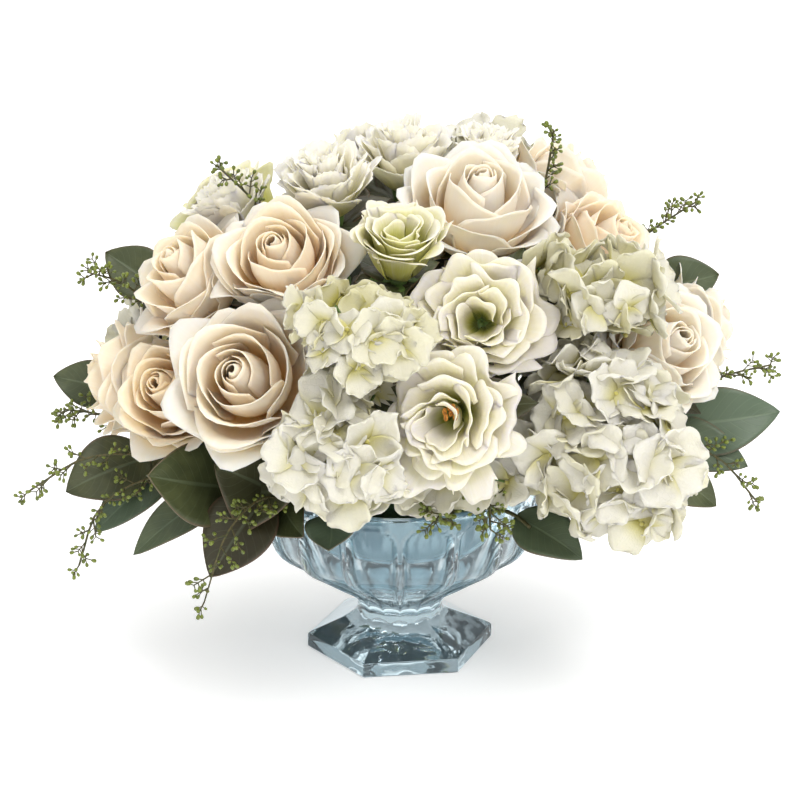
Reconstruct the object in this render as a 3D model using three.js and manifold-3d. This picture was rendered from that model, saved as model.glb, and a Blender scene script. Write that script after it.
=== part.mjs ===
// A floral table centrepiece: a low dome of roses, carnations, lisianthus and hydrangea, with leafy and
// seeded eucalyptus, standing in wet foam in a footed bowl of pressed glass.
// Millimetres, +Z up. The origin is the middle of the underside of the bowl's foot, and the front is -Y.
// A place is given by three values: around, in degrees from the front towards +X, how far out from the
// middle line, and its height. A flower's place is given from the heart of the dome instead: around, up
// in degrees, and its reach.

import * as THREE from 'three';
import { mergeVertices } from 'three/addons/utils/BufferGeometryUtils.js';
import Module from 'manifold-3d';

const wasm = await Module();
wasm.setup();

// The glass bowl
const RIM_HEIGHT = 112;
const RIM_RADIUS = 84.5;
const PANELS = 16;
const FACETS_PER_PANEL = 3;
const FLUTE_DEPTH = 2;
const FOOT_CORNER_RADIUS = 57.5;
const FOOT_EDGE = 9;
const FOOT_TURN = 37.5;
const NECK_RADIUS = 26;
const NECK_BOTTOM = 24;
const NECK_TOP = 30;
// radius and height down the inside of the bowl
const BOWL_INSIDE = [
  [80, 112],
  [75, 84],
  [60, 68],
  [26, 48],
];

// The plastic dish in the bowl, and the block of wet foam in the dish
const DISH_FLOOR = 74;
const DISH_TOP = 110;
const DISH_TOP_RADIUS = 73;
const DISH_WALL = 1.6;
const DISH_SIDES = 20;
const FOAM_RADIUS = 56;
const FOAM_TOP = 148;
const FOAM_SIDES = 16;

// How stems stand in the foam
const STEM_DEPTH = 15;
const STEM_AIM_HEIGHT = 88;
const TRAILING_AIM_HEIGHT = 107;
const TRAILING_BELOW = 125;
const ELBOW = 3;

// The clearance between neighbours. A section with few sides is nearer at its flats than at its corners,
// so the clearance round it is this much wider.
const GAP = 0.35;
const WIDER = 1.5;

// Eucalyptus. The bow, belly, fold and stalk are shares of the leaf's own length and width.
const LEAF_THICKNESS = 0.9;
const LEAF_BOW = 0.1;
const LEAF_BELLY = 0.8;
const LEAF_FOLD = 0.2;
const LEAF_STALK = 0.12;
const LEAF_FACE_UP = 25;
const LEAFY_STEM_RADIUS = 1.4;
const SEEDED_STEM_RADIUS = 1;
const BERRY_RADIUS = 2.4;
const TWIGS = 4;
const FIRST_TWIG = 0.6;
const LAST_TWIG = 0.98;
const TWIG_LENGTH = 9;
const TWIG_LENGTH_SPREAD = 5;
const TWIG_RADIUS = 0.6;
const TWIG_LEAN = 0.9;
// radians by which a twig is turned until it is clear of the heads, and a way that no twig points
const TWIG_TURN = 0.6;
const OFF_UPRIGHT = new THREE.Vector3(0.3, 0.2, 1);

// Where the random draws of each flower and each twig start
const FLOWER_SEED = 11;
const TWIG_SEED = 301;
const SEED_STEP = 97;

// The dome that the flowers make
const HEART = new THREE.Vector3(0, 0, 125);

// Flowers, those in front first: a later one is pressed aside by an earlier one.
// kind, around, up and reach from the heart, radius of the head, and where it faces: around and up
const FLOWERS = [
  ['rose_1', -36, 30, 168, 42, -14, 30],
  ['lisianthus_2', 10, 26, 171, 36, -8, 18],
  ['lisianthus_1', 23, 45, 169, 37, 4, 30],
  ['hydrangea_4', 45, 15, 158, 57, 40, 12],
  ['rose_3', -40, 54, 176, 37, -14, 46],
  ['rose_6', 52, 71, 175, 43, 12, 60],
  ['hydrangea_2', -13, 20, 149, 42, -14, 14],
  ['rose_9', 73, 27, 181, 38, 36, 30],
  ['rose_2', -70, 44, 180, 38, -60, 44],
  ['lisianthus_3', 0, 60, 175, 31, 4, 66],
  ['hydrangea_1', -9, 39, 173, 41, -10, 34],
  ['rose_8', 83, 48, 183, 34, 58, 42],
  ['rose_4', -61, 23, 163, 34, -30, 32],
  ['rose_5', -84, 18, 178, 35, -88, 14],
  ['carnation_1', 175, 80, 178, 36, 5, 76],
  ['carnation_2', -60, 74, 178, 34, -30, 68],
  ['hydrangea_3', 54, 42, 174, 43, 48, 40],
  ['rose_7', 110, 55, 191, 40, 98, 45],
  ['rose_10', 92, 24, 200, 31, 92, 18],
  ['carnation_3', -92, 57, 181, 31, -80, 58],
  ['carnation_4', 120, 71, 186, 31, 80, 74],
  ['rose_11', 148, 19, 160, 43, 148, 20],
  ['rose_12', -156, 41, 168, 44, -155, 42],
  ['rose_13', 116, 33, 178, 44, 118, 32],
  ['lisianthus_4', -173, 20, 158, 43, -174, 20],
  ['lisianthus_5', -118, 49, 179, 42, -116, 44],
  ['hydrangea_5', -127, 17, 160, 55, -127, 15],
  ['hydrangea_6', 152, 50, 171, 46, 150, 50],
  ['carnation_5', -162, 67, 173, 40, -164, 66],
];

// Leafy eucalyptus: the way that its leaves face, around, then the stem's places outside the foam, then
// each leaf: how far along the stem it grows, the place of its tip, and its width
const LEAFY = [
  ['eucalyptus_1', -10, [[-99, 108, 182], [-98, 146, 222]],
    [[1, -98, 178, 243, 34], [0.85, -107, 170, 216, 26]]],
  ['eucalyptus_2', -10, [[-101, 120, 140], [-97, 174, 158]],
    [[1, -96, 212, 166, 30], [0.85, -105, 205, 152, 24]]],
  ['eucalyptus_3', -20, [[-75, 90, 119], [-75, 130, 132], [-75, 152, 136]],
    [[1, -75, 205, 126, 42], [0.8, -70, 192, 98, 32]]],
  ['eucalyptus_4', -30, [[-55, 90, 119], [-53, 124, 130]],
    [[1, -60, 174, 94, 34], [0.8, -51, 158, 97, 32]]],
  ['eucalyptus_5', -20, [[-41, 90, 119], [-40, 118, 131]],
    [[1, -41, 164, 88, 44], [0.75, -27, 134, 102, 30]]],
  ['eucalyptus_6', -10, [[-19, 90, 119], [-20, 112, 126]],
    [[1, -16, 130, 98, 30]]],
  ['eucalyptus_7', 20, [[34, 90, 119], [34, 116, 121], [34, 130, 118]],
    [[1, 37, 156, 102, 32]]],
  ['eucalyptus_8', 30, [[69, 90, 119], [69, 130, 130], [71, 152, 136]],
    [[0.9, 60, 164, 98, 32], [1, 73, 186, 98, 32]]],
  ['eucalyptus_9', 20, [[84, 120, 134], [85, 160, 147]],
    [[1, 86, 226, 156, 42], [0.85, 82, 204, 122, 32]]],
  ['eucalyptus_10', 20, [[92, 122, 196], [94, 152, 224]],
    [[1, 92, 189, 234, 34], [0.92, 106, 182, 222, 26]]],
  ['eucalyptus_11', 130, [[118, 90, 119], [118, 142, 133]],
    [[1, 116, 196, 116, 38], [0.8, 125, 178, 94, 32]]],
  ['eucalyptus_12', 175, [[167, 90, 119], [167, 126, 131]],
    [[1, 164, 180, 108, 38], [0.8, 173, 165, 92, 32]]],
  ['eucalyptus_13', -130, [[-112, 90, 119], [-113, 142, 133]],
    [[1, -112, 196, 114, 38], [0.8, -122, 180, 96, 32]]],
];

// Seeded eucalyptus: the twig's places outside the foam, from its foot to its tip
const SEEDED = [
  ['seeded_1', [[-82, 60, 220], [-80, 78, 272], [-79, 105, 304]]],
  ['seeded_2', [[-95, 122, 182], [-90, 156, 226], [-84, 182, 242]]],
  ['seeded_3', [[-90, 122, 134], [-90, 180, 149], [-90, 201, 152]]],
  ['seeded_4', [[-68, 90, 119], [-68, 132, 136], [-70, 182, 146], [-75, 223, 121]]],
  ['seeded_5', [[-63, 90, 119], [-65, 142, 133], [-67, 182, 122], [-68, 200, 82]]],
  ['seeded_6', [[-33, 90, 119], [-33, 130, 138], [-34, 162, 132], [-37, 178, 88]]],
  ['seeded_7', [[13, 90, 119], [13, 116, 134], [8, 134, 131]]],
  ['seeded_8', [[25, 90, 119], [25, 114, 133], [22, 133, 123]]],
  ['seeded_9', [[90, 62, 215], [90, 82, 280], [91, 89, 321]]],
  ['seeded_10', [[104, 108, 216], [99, 147, 253], [97, 176, 274]]],
  ['seeded_11', [[93, 122, 136], [92, 186, 168], [90, 221, 180]]],
  ['seeded_12', [[78, 90, 119], [78, 136, 138], [78, 182, 140], [78, 214, 110]]],
  ['seeded_13', [[140, 90, 119], [141, 140, 126], [143, 188, 98]]],
  ['seeded_14', [[-152, 90, 119], [-152, 138, 120], [-153, 182, 92]]],
];

// Looks of the materials
const FINISHES = {
  glass: { color: 0xa9c4cd, roughness: 0.05, metalness: 0 },
  dish: { color: 0xdde7ea, roughness: 0.4, metalness: 0 },
  foam: { color: 0x3f5a3a, roughness: 0.95, metalness: 0 },
  rose: { color: 0xf2e2cc, roughness: 0.7, metalness: 0 },
  carnation: { color: 0xf4f3ee, roughness: 0.8, metalness: 0 },
  lisianthus: { color: 0xf3f2e0, roughness: 0.7, metalness: 0 },
  hydrangea: { color: 0xf3f4ea, roughness: 0.75, metalness: 0 },
  leaf: { color: 0x6f8072, roughness: 0.6, metalness: 0 },
  seeded: { color: 0x7f8a3c, roughness: 0.6, metalness: 0 },
};

// Small helpers

function place([around, out, height]) {
  const angle = THREE.MathUtils.degToRad(around);
  return new THREE.Vector3(out * Math.sin(angle), -out * Math.cos(angle), height);
}

function direction(around, up) {
  const rise = THREE.MathUtils.degToRad(up);
  return place([around, Math.cos(rise), Math.sin(rise)]);
}

// A small repeatable random source, so that each build is the same
function randomSource(seed) {
  let state = seed;
  return () => {
    state = (state * 16807) % 2147483647;
    return state / 2147483647;
  };
}

function toSolid(geometry) {
  const bare = geometry.clone();
  bare.deleteAttribute('normal');
  bare.deleteAttribute('uv');
  const merged = mergeVertices(bare, 1e-4);
  return new wasm.Manifold(new wasm.Mesh({
    numProp: 3,
    vertProperties: merged.attributes.position.array,
    triVerts: new Uint32Array(merged.index.array),
  }));
}

function toGeometry(solid) {
  const mesh = solid.getMesh();
  const geometry = new THREE.BufferGeometry();
  geometry.setAttribute('position', new THREE.BufferAttribute(mesh.vertProperties, 3));
  geometry.setIndex(new THREE.BufferAttribute(mesh.triVerts, 1));
  geometry.computeVertexNormals();
  return geometry;
}

function joined(solids) {
  return wasm.Manifold.union(solids);
}

function largestPiece(solid) {
  return solid.decompose().reduce((best, piece) => (piece.volume() > best.volume() ? piece : best));
}

function boxesMeet(a, b) {
  const first = a.boundingBox();
  const second = b.boundingBox();
  return [0, 1, 2].every((i) => first.min[i] < second.max[i] && second.min[i] < first.max[i]);
}

function isClear(a, b) {
  return !boxesMeet(a, b) || a.intersect(b).isEmpty();
}

function cutBy(solid, cutters) {
  const near = cutters.filter((cutter) => boxesMeet(solid, cutter));
  return near.reduce((rest, cutter) => rest.subtract(cutter), solid);
}

function geometryOf(points, triangles) {
  const geometry = new THREE.BufferGeometry().setFromPoints(points);
  geometry.setIndex(triangles);
  return geometry;
}

// A closed skin over a row of rings, each a list of points that runs anticlockwise seen from the end
function loft(rings) {
  const count = rings[0].length;
  const points = rings.flat();
  const triangles = [];
  for (let row = 0; row + 1 < rings.length; row += 1) {
    for (let i = 0; i < count; i += 1) {
      const a = row * count + i;
      const b = row * count + ((i + 1) % count);
      triangles.push(a, b, b + count, a, b + count, a + count);
    }
  }
  const middle = (ring) => ring.reduce((sum, p) => sum.add(p), new THREE.Vector3()).divideScalar(count);
  const start = points.push(middle(rings[0])) - 1;
  const end = points.push(middle(rings[rings.length - 1])) - 1;
  const last = (rings.length - 1) * count;
  for (let i = 0; i < count; i += 1) {
    const next = (i + 1) % count;
    triangles.push(start, next, i, end, last + i, last + next);
  }
  return geometryOf(points, triangles);
}

// A ring of points round the Z axis
function ring(sides, radiusAt, height, turn = 0) {
  return Array.from({ length: sides }, (_, i) => place([turn + (i * 360) / sides, radiusAt(i), height]));
}

// A rod with few sides along a row of points
function rod(points, radius, sides) {
  let across = new THREE.Vector3(0, 0, 1);
  const rings = points.map((point, i) => {
    const before = points[Math.max(i - 1, 0)];
    const after = points[Math.min(i + 1, points.length - 1)];
    const along = after.clone().sub(before).normalize();
    if (Math.abs(along.dot(across)) > 0.98) across = new THREE.Vector3(1, 0, 0);
    const side = across.clone().addScaledVector(along, -along.dot(across)).normalize();
    across = side;
    const other = along.clone().cross(side);
    return Array.from({ length: sides }, (_, k) => {
      const angle = (k * 2 * Math.PI) / sides;
      return point.clone()
        .addScaledVector(side, radius * Math.cos(angle))
        .addScaledVector(other, radius * Math.sin(angle));
    });
  });
  return toSolid(loft(rings));
}

// A thin petal or leaf, split into triangles alike on both faces. shape(u, v) gives a point: u runs
// from -1 to 1 across it, and v from 0 at its root to 1 at its tip.
function blade(shape, across, along, thickness) {
  const front = [];
  const back = [];
  const nudge = 0.01;
  for (let j = 0; j <= along; j += 1) {
    for (let i = 0; i <= across; i += 1) {
      const u = (2 * i) / across - 1;
      const v = j / along;
      const point = shape(u, v);
      const du = shape(u + nudge, v).sub(shape(u - nudge, v));
      const dv = shape(u, v + nudge).sub(shape(u, v - nudge));
      const half = du.cross(dv).normalize().multiplyScalar(thickness / 2);
      front.push(point.clone().add(half));
      back.push(point.clone().sub(half));
    }
  }
  const width = across + 1;
  const other = front.length;
  const triangles = [];
  for (let j = 0; j < along; j += 1) {
    for (let i = 0; i < across; i += 1) {
      const a = j * width + i;
      const b = a + 1;
      const c = b + width;
      const d = a + width;
      triangles.push(a, b, c, a, c, d);
      triangles.push(other + a, other + c, other + b, other + a, other + d, other + c);
    }
  }
  const rim = [];
  for (let i = 0; i < across; i += 1) rim.push(i);
  for (let j = 0; j < along; j += 1) rim.push(j * width + across);
  for (let i = across; i > 0; i -= 1) rim.push(along * width + i);
  for (let j = along; j > 0; j -= 1) rim.push(j * width);
  rim.forEach((p, k) => {
    const q = rim[(k + 1) % rim.length];
    triangles.push(q, p, other + p, q, other + p, other + q);
  });
  return toSolid(geometryOf([...front, ...back], triangles));
}

// The glass bowl: one piece of pressed glass

function hexagonRadius(cornerRadius, around) {
  const fromCorner = (((around - FOOT_TURN) % 60) + 60) % 60;
  const half = THREE.MathUtils.degToRad(30);
  return (cornerRadius * Math.cos(half)) / Math.cos(THREE.MathUtils.degToRad(fromCorner) - half);
}

function glassBowl() {
  const sides = PANELS * FACETS_PER_PANEL;
  // radius, height, how far the section is a hexagon, and how deep the flutes are, of 1
  const outside = [
    [FOOT_CORNER_RADIUS, 0, 1, 0],
    [FOOT_CORNER_RADIUS, FOOT_EDGE, 1, 0],
    [FOOT_CORNER_RADIUS - 3.5, FOOT_EDGE + 2, 1, 0],
    [NECK_RADIUS + 5, NECK_BOTTOM - 3, 0.7, 0],
    [NECK_RADIUS, NECK_BOTTOM, 0, 0],
    [NECK_RADIUS, NECK_TOP, 0, 0],
    [49, 51, 0, 0.8],
    [68, 65, 0, 1],
    [77, 73, 0, 1],
    [82.5, 90, 0, 0.9],
    [RIM_RADIUS, RIM_HEIGHT - 5, 0, 0],
    [RIM_RADIUS - 1, RIM_HEIGHT, 0, 0],
  ];
  const inside = BOWL_INSIDE.map(([radius, height]) => [radius, height, 0, 0]);
  const rings = [...outside, ...inside].map(([radius, height, hexagon, flute]) => {
    const radiusAt = (i) => {
      const round = radius - (i % FACETS_PER_PANEL === 0 ? flute * FLUTE_DEPTH : 0);
      const cornered = hexagonRadius(radius, (i * 360) / sides);
      return THREE.MathUtils.lerp(round, cornered, hexagon);
    };
    return ring(sides, radiusAt, height);
  });
  return toSolid(loft(rings));
}

// The dish that keeps the foam wet, wedged in the bowl just under its rim

function bowlInsideRadius(height) {
  const k = BOWL_INSIDE.findIndex((_, i) => BOWL_INSIDE[i + 1][1] <= height);
  const [upper, lower] = [BOWL_INSIDE[k], BOWL_INSIDE[k + 1]];
  return THREE.MathUtils.mapLinear(height, lower[1], upper[1], lower[0], upper[0]);
}

function foamDish() {
  const seat = bowlInsideRadius(DISH_FLOOR) - GAP * WIDER;
  const profile = [
    [seat, DISH_FLOOR],
    [DISH_TOP_RADIUS, DISH_TOP],
    [DISH_TOP_RADIUS - DISH_WALL, DISH_TOP],
    [seat - DISH_WALL, DISH_FLOOR + DISH_WALL],
  ];
  return toSolid(loft(profile.map(([radius, height]) => ring(DISH_SIDES, () => radius, height))));
}

function foamBlock(holes) {
  const bottom = DISH_FLOOR + DISH_WALL + GAP;
  const rings = [bottom, FOAM_TOP].map((height) => ring(FOAM_SIDES, () => FOAM_RADIUS, height));
  return holes.reduce((rest, hole) => rest.subtract(hole), toSolid(loft(rings)));
}

// A stem's foot in the foam. It returns the row of points from its cut end to its first place outside.
function stemFoot(first, aimHeight) {
  const inwards = new THREE.Vector3(0, 0, aimHeight).sub(first).normalize();
  const level = Math.hypot(inwards.x, inwards.y);
  const toSide = (Math.hypot(first.x, first.y) - FOAM_RADIUS) / level;
  const toTop = (first.z - FOAM_TOP) / -inwards.z;
  const entry = Math.max(toSide, toTop);
  const cutEnd = first.clone().addScaledVector(inwards, entry + STEM_DEPTH);
  const outside = first.clone().addScaledVector(inwards, entry - ELBOW);
  return [cutEnd, outside];
}

// The plain hole that a stem stands in, with clearance all round and at its end
function stemHole([cutEnd, outside], radius, sides) {
  const outwards = outside.clone().sub(cutEnd).normalize();
  const bottom = cutEnd.clone().addScaledVector(outwards, -GAP);
  return rod([bottom, outside.clone().addScaledVector(outwards, ELBOW)], radius + GAP * WIDER, sides);
}

// Flower heads, in their own frame: Z is where the flower faces, and 1 is the head's radius.
// A layer is a ring of petals: its belly and lip as radius and height, and the foot of the gap inside it.
// spiral is how far each petal's edge laps over the next one, droop how far its corners fall, and wave
// how high its ruffles stand.

// Degrees from a petal's edge to the next petal's, and between a layer and the next one inside it
const LAP_STEP = 7;
const LAYER_TURN = 31;
const BUD_TURN = 60;

const ROSE = {
  stem: 2.6,
  base: [0.2, -0.78],
  layers: [
    { petals: 5, perPetal: 3, belly: [0.8, -0.34], lip: [1, 0.2], foot: [0.6, -0.2],
      spiral: 0.06, droop: 0.12, wave: 0 },
    { petals: 3, perPetal: 5, belly: [0.62, 0], lip: [0.66, 0.38], foot: [0.38, 0.05],
      spiral: 0.06, droop: 0.1, wave: 0 },
  ],
  bud: [0.22, 0.44],
};

const CARNATION = {
  stem: 1.9,
  base: [0.2, -0.8],
  layers: [
    { petals: 7, perPetal: 2, belly: [0.6, -0.2], lip: [1, 0.08], foot: [0.52, 0],
      spiral: 0.03, droop: 0, wave: 0.1 },
    { petals: 7, perPetal: 2, belly: [0.6, 0.14], lip: [0.74, 0.34], foot: [0.34, 0.2],
      spiral: 0.03, droop: 0, wave: 0.09 },
  ],
  bud: [0.3, 0.42],
};

const LISIANTHUS = {
  stem: 1.8,
  base: [0.16, -0.8],
  layers: [
    { petals: 5, perPetal: 3, belly: [0.66, -0.42], lip: [1, 0.2], foot: [0.56, -0.3],
      spiral: 0.05, droop: 0.08, wave: 0.04 },
    { petals: 5, perPetal: 3, belly: [0.58, -0.1], lip: [0.68, 0.34], foot: [0.22, -0.45],
      spiral: 0.05, droop: 0.08, wave: 0.04 },
  ],
  bud: [0.08, -0.1],
};

// Florets stand all over a smaller core, down to the lowest height. cover is how large a floret is for the
// room that it has, and crowding is the head's radius for each floret. A floret is a plate with four lobes
// of lobeHalf degrees to each side, notched between them, and its stalk grows from its root in the core.
const HYDRANGEA = {
  stem: 3,
  lowest: -0.45,
  cover: 1.4,
  crowding: 5.1,
  coreSides: 6,
  core: [[0.14, -0.8], [0.6, -0.28], [0.6, 0.3], [0.3, 0.62]],
  standing: 0.9,
  root: 0.45,
  notch: 0.62,
  lobeHalf: 27,
  stalk: 0.05,
  twist: 0.05,
  notchDrop: 0.03,
  dish: 0.05,
  depth: 0.12,
};
const GOLDEN_ANGLE = 137.5;

// The room round a head, as radius and height
const ROOM = [[0.26, -0.84], [0.92, -0.42], [1.06, -0.06], [1.06, 0.26], [0.7, 0.52]];
const ROUND_ROOM = [[0.26, -0.84], [0.86, -0.6], [1.08, -0.2], [1.08, 0.3], [0.86, 0.72], [0.4, 1.02]];
const ROOM_SIDES = 12;

// Where the stem meets the head
const NECK_HEIGHT = -0.72;

function headMatrix(centre, faceAround, faceUp, radius) {
  const facing = direction(faceAround, faceUp);
  const level = new THREE.Vector3(0, 0, 1).cross(facing).normalize();
  const upwards = facing.clone().cross(level);
  return new THREE.Matrix4().makeBasis(level, upwards, facing)
    .scale(new THREE.Vector3(radius, radius, radius))
    .setPosition(centre);
}

// One ring of points along a layer of petals. Each petal's edge stands a small step outside the next one.
function petalRing(layer, [radius, height], ruffled, turn) {
  const span = 360 / layer.petals;
  return Array.from({ length: layer.petals * layer.perPetal }, (_, i) => {
    const petal = Math.floor(i / layer.perPetal);
    const across = (i % layer.perPetal) / (layer.perPetal - 1);
    const lap = 1 - 2 * across;
    const around = turn + petal * span + across * (span - LAP_STEP);
    const ruffle = i % 2 === 0 ? layer.wave : -layer.wave;
    const rise = ruffled * (ruffle - layer.droop * lap * lap);
    return place([around, radius + layer.spiral * lap, height + rise]);
  });
}

// A whole head in one skin: up the outside of each layer, over its lip, down to its foot and so inwards
function layeredHead(kind, matrix, random) {
  const turn = random() * 360;
  const [outermost] = kind.layers;
  const rings = [petalRing({ ...outermost, spiral: 0 }, kind.base, 0, turn)];
  kind.layers.forEach((layer, level) => {
    const start = turn + level * LAYER_TURN;
    rings.push(petalRing(layer, layer.belly, 0, start));
    rings.push(petalRing(layer, layer.lip, 1, start));
    rings.push(petalRing({ ...layer, spiral: 0 }, layer.foot, 0, start));
  });
  const innermost = kind.layers[kind.layers.length - 1];
  rings.push(petalRing({ ...innermost, spiral: innermost.spiral / 2 }, kind.bud, 0, turn + BUD_TURN));
  return toSolid(loft(rings.map((points) => points.map((p) => p.applyMatrix4(matrix)))));
}

// One hydrangea floret: four rounded sepals in one dished plate, on a three-sided stalk from the core
function floret(outwards, radius, turn, matrix) {
  const upright = new THREE.Quaternion().setFromUnitVectors(new THREE.Vector3(0, 0, 1), outwards);
  const { standing, notch, lobeHalf } = HYDRANGEA;
  const rim = [];
  for (let lobe = 0; lobe < 4; lobe += 1) {
    rim.push([turn + lobe * 90 - lobeHalf, radius, standing + HYDRANGEA.twist]);
    rim.push([turn + lobe * 90 + lobeHalf, radius, standing]);
    rim.push([turn + lobe * 90 + 45, radius * notch, standing - HYDRANGEA.notchDrop]);
  }
  const underside = standing - HYDRANGEA.depth;
  const stalk = [0, 1, 2].map((k) => [turn + 45 + k * 120, HYDRANGEA.stalk, underside]);
  const ends = [[0, 0, standing - HYDRANGEA.dish], [0, 0, HYDRANGEA.root]];
  const points = [...rim, ...stalk, ...ends].map((p) => {
    return place(p).applyQuaternion(upright).applyMatrix4(matrix);
  });
  const count = rim.length;
  const perSide = count / stalk.length;
  const dish = count + stalk.length;
  const triangles = [];
  for (let i = 0; i < count; i += 1) {
    const next = (i + 1) % count;
    const under = count + Math.floor(i / perSide);
    triangles.push(dish, i, next, under, next, i);
  }
  stalk.forEach((_, k) => {
    const next = (k + 1) % stalk.length;
    triangles.push(count + k, count + next, ((k + 1) * perSide) % count);
    triangles.push(dish + 1, count + next, count + k);
  });
  return toSolid(geometryOf(points, triangles));
}

function hydrangeaHead(matrix, radius, random) {
  const count = Math.round(radius / HYDRANGEA.crowding);
  const core = HYDRANGEA.core.map(([out, height]) => {
    return ring(HYDRANGEA.coreSides, () => out, height).map((p) => p.applyMatrix4(matrix));
  });
  const pieces = [toSolid(loft(core))];
  const size = HYDRANGEA.cover / Math.sqrt(count);
  for (let k = 0; k < count; k += 1) {
    const height = 1 - ((k + 0.4) / count) * (1 - HYDRANGEA.lowest);
    const outwards = place([k * GOLDEN_ANGLE, Math.sqrt(1 - height * height), height]);
    pieces.push(floret(outwards, size, random() * 90, matrix));
  }
  return joined(pieces);
}

// The room that a flower head takes, grown by the gap: its neighbours are pressed back to it
function headRoom(matrix, radius, outline) {
  const grow = (radius + GAP * WIDER) / radius;
  const rings = outline.map(([out, height]) => {
    return ring(ROOM_SIDES, () => out * grow, height * grow).map((p) => p.applyMatrix4(matrix));
  });
  return toSolid(loft(rings));
}

function flower([name, around, up, reach, radius, faceAround, faceUp], index) {
  const random = randomSource(FLOWER_SEED + index * SEED_STEP);
  const kindName = name.split('_')[0];
  const kind = { rose: ROSE, carnation: CARNATION, lisianthus: LISIANTHUS, hydrangea: HYDRANGEA }[kindName];
  const centre = direction(around, up).multiplyScalar(reach).add(HEART);
  const matrix = headMatrix(centre, faceAround, faceUp, radius);
  const isHydrangea = kindName === 'hydrangea';
  const head = isHydrangea ? hydrangeaHead(matrix, radius, random) : layeredHead(kind, matrix, random);
  const neck = new THREE.Vector3(0, 0, NECK_HEIGHT).applyMatrix4(matrix);
  const foot = stemFoot(neck, STEM_AIM_HEIGHT);
  const sides = 3;
  return {
    name,
    finish: kindName,
    matrix,
    head,
    stem: rod([...foot, neck], kind.stem, sides),
    room: headRoom(matrix, radius, isHydrangea ? ROUND_ROOM : ROOM),
    hole: stemHole(foot, kind.stem, sides),
  };
}

// Eucalyptus

function smoothRow(points, steps) {
  return new THREE.CatmullRomCurve3(points).getPoints(steps);
}

function stemRow(places) {
  const points = places.map(place);
  const trailing = points[0].z < TRAILING_BELOW;
  const foot = stemFoot(points[0], trailing ? TRAILING_AIM_HEIGHT : STEM_AIM_HEIGHT);
  return { foot, row: smoothRow([foot[1], ...points], points.length + 1) };
}

// A leaf from its base to its tip, bowed up along its length and folded a little at its midrib
function leaf(base, tip, width, towards) {
  const along = tip.clone().sub(base);
  const length = along.length();
  along.normalize();
  const facing = towards.clone().addScaledVector(along, -towards.dot(along)).normalize();
  const across = along.clone().cross(facing);
  const bow = length * LEAF_BOW;
  const shape = (u, v) => {
    const part = THREE.MathUtils.clamp(v, 0, 1);
    const fullness = Math.sin(Math.PI * part ** LEAF_BELLY);
    const half = (width / 2) * THREE.MathUtils.lerp(LEAF_STALK, 1, fullness);
    const lift = bow * Math.sin(Math.PI * v) - LEAF_FOLD * half * (1 - Math.abs(u));
    return base.clone()
      .addScaledVector(along, v * length)
      .addScaledVector(across, u * half)
      .addScaledVector(facing, lift);
  };
  return blade(shape, 2, 3, LEAF_THICKNESS);
}

function leafyStem([name, faceAround, places, leaves]) {
  const { foot, row } = stemRow(places);
  const radius = LEAFY_STEM_RADIUS;
  const sides = 3;
  const line = new THREE.CatmullRomCurve3(row);
  const towards = direction(faceAround, LEAF_FACE_UP);
  const blades = leaves.map(([at, around, out, height, width]) => {
    return leaf(line.getPoint(at), place([around, out, height]), width, towards);
  });
  return {
    name,
    finish: 'leaf',
    stem: rod([foot[0], ...row], radius, sides),
    dressing: joined(blades),
    passage: rod([foot[0], ...row], radius + GAP * WIDER, sides),
    hole: stemHole(foot, radius, sides),
  };
}

// A side twig that ends in a berry
function berryTwig(base, along, length) {
  const side = OFF_UPRIGHT.clone().cross(along).normalize();
  const other = along.clone().cross(side);
  const sides = 3;
  const stations = [
    [0, TWIG_RADIUS],
    [length - BERRY_RADIUS, TWIG_RADIUS],
    [length, BERRY_RADIUS],
    [length + BERRY_RADIUS, BERRY_RADIUS / 3],
  ];
  const rings = stations.map(([at, radius]) => Array.from({ length: sides }, (_, k) => {
    const angle = (k * 2 * Math.PI) / sides;
    return base.clone().addScaledVector(along, at)
      .addScaledVector(side, radius * Math.cos(angle))
      .addScaledVector(other, radius * Math.sin(angle));
  }));
  return toSolid(loft(rings));
}

function seededTwig([name, places], index) {
  const random = randomSource(TWIG_SEED + index * SEED_STEP);
  const { foot, row } = stemRow(places);
  const radius = SEEDED_STEM_RADIUS;
  const sides = 3;
  const line = new THREE.CatmullRomCurve3(row);
  const twigs = [];
  for (let k = 0; k < TWIGS; k += 1) {
    const at = THREE.MathUtils.lerp(FIRST_TWIG, LAST_TWIG, k / (TWIGS - 1));
    const along = line.getTangent(at);
    const side = new THREE.Vector3(0, 0, 1).cross(along).normalize();
    const length = TWIG_LENGTH + random() * TWIG_LENGTH_SPREAD;
    const firstTurn = k * Math.PI + (random() - 0.5);
    const tries = [0, 1, -1, 2, -2].map((part) => {
      const turned = side.clone().applyAxisAngle(along, firstTurn + part * TWIG_TURN);
      return berryTwig(line.getPoint(at), turned.addScaledVector(along, TWIG_LEAN).normalize(), length);
    });
    const clear = tries.find((twig) => rooms.every((room) => isClear(twig, room)));
    if (clear) twigs.push(clear);
  }
  return {
    name,
    finish: 'seeded',
    stem: rod([foot[0], ...row], radius, sides),
    dressing: joined(twigs),
    passage: rod([foot[0], ...row], radius + GAP * WIDER, sides),
    hole: stemHole(foot, radius, sides),
  };
}

// The whole centrepiece

function meshOf(name, finish, solid, matrix) {
  const geometry = toGeometry(solid);
  const mesh = new THREE.Mesh(geometry, new THREE.MeshStandardMaterial(FINISHES[finish]));
  mesh.name = name;
  if (matrix) {
    const turned = new THREE.Matrix4().extractRotation(matrix).copyPosition(matrix);
    geometry.applyMatrix4(turned.clone().invert());
    turned.decompose(mesh.position, mesh.quaternion, mesh.scale);
  }
  return mesh;
}

const flowers = FLOWERS.map(flower);
const rooms = flowers.map((each) => each.room);
const greenery = [...LEAFY.map(leafyStem), ...SEEDED.map(seededTwig)];
const passages = greenery.map((each) => each.passage);

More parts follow.
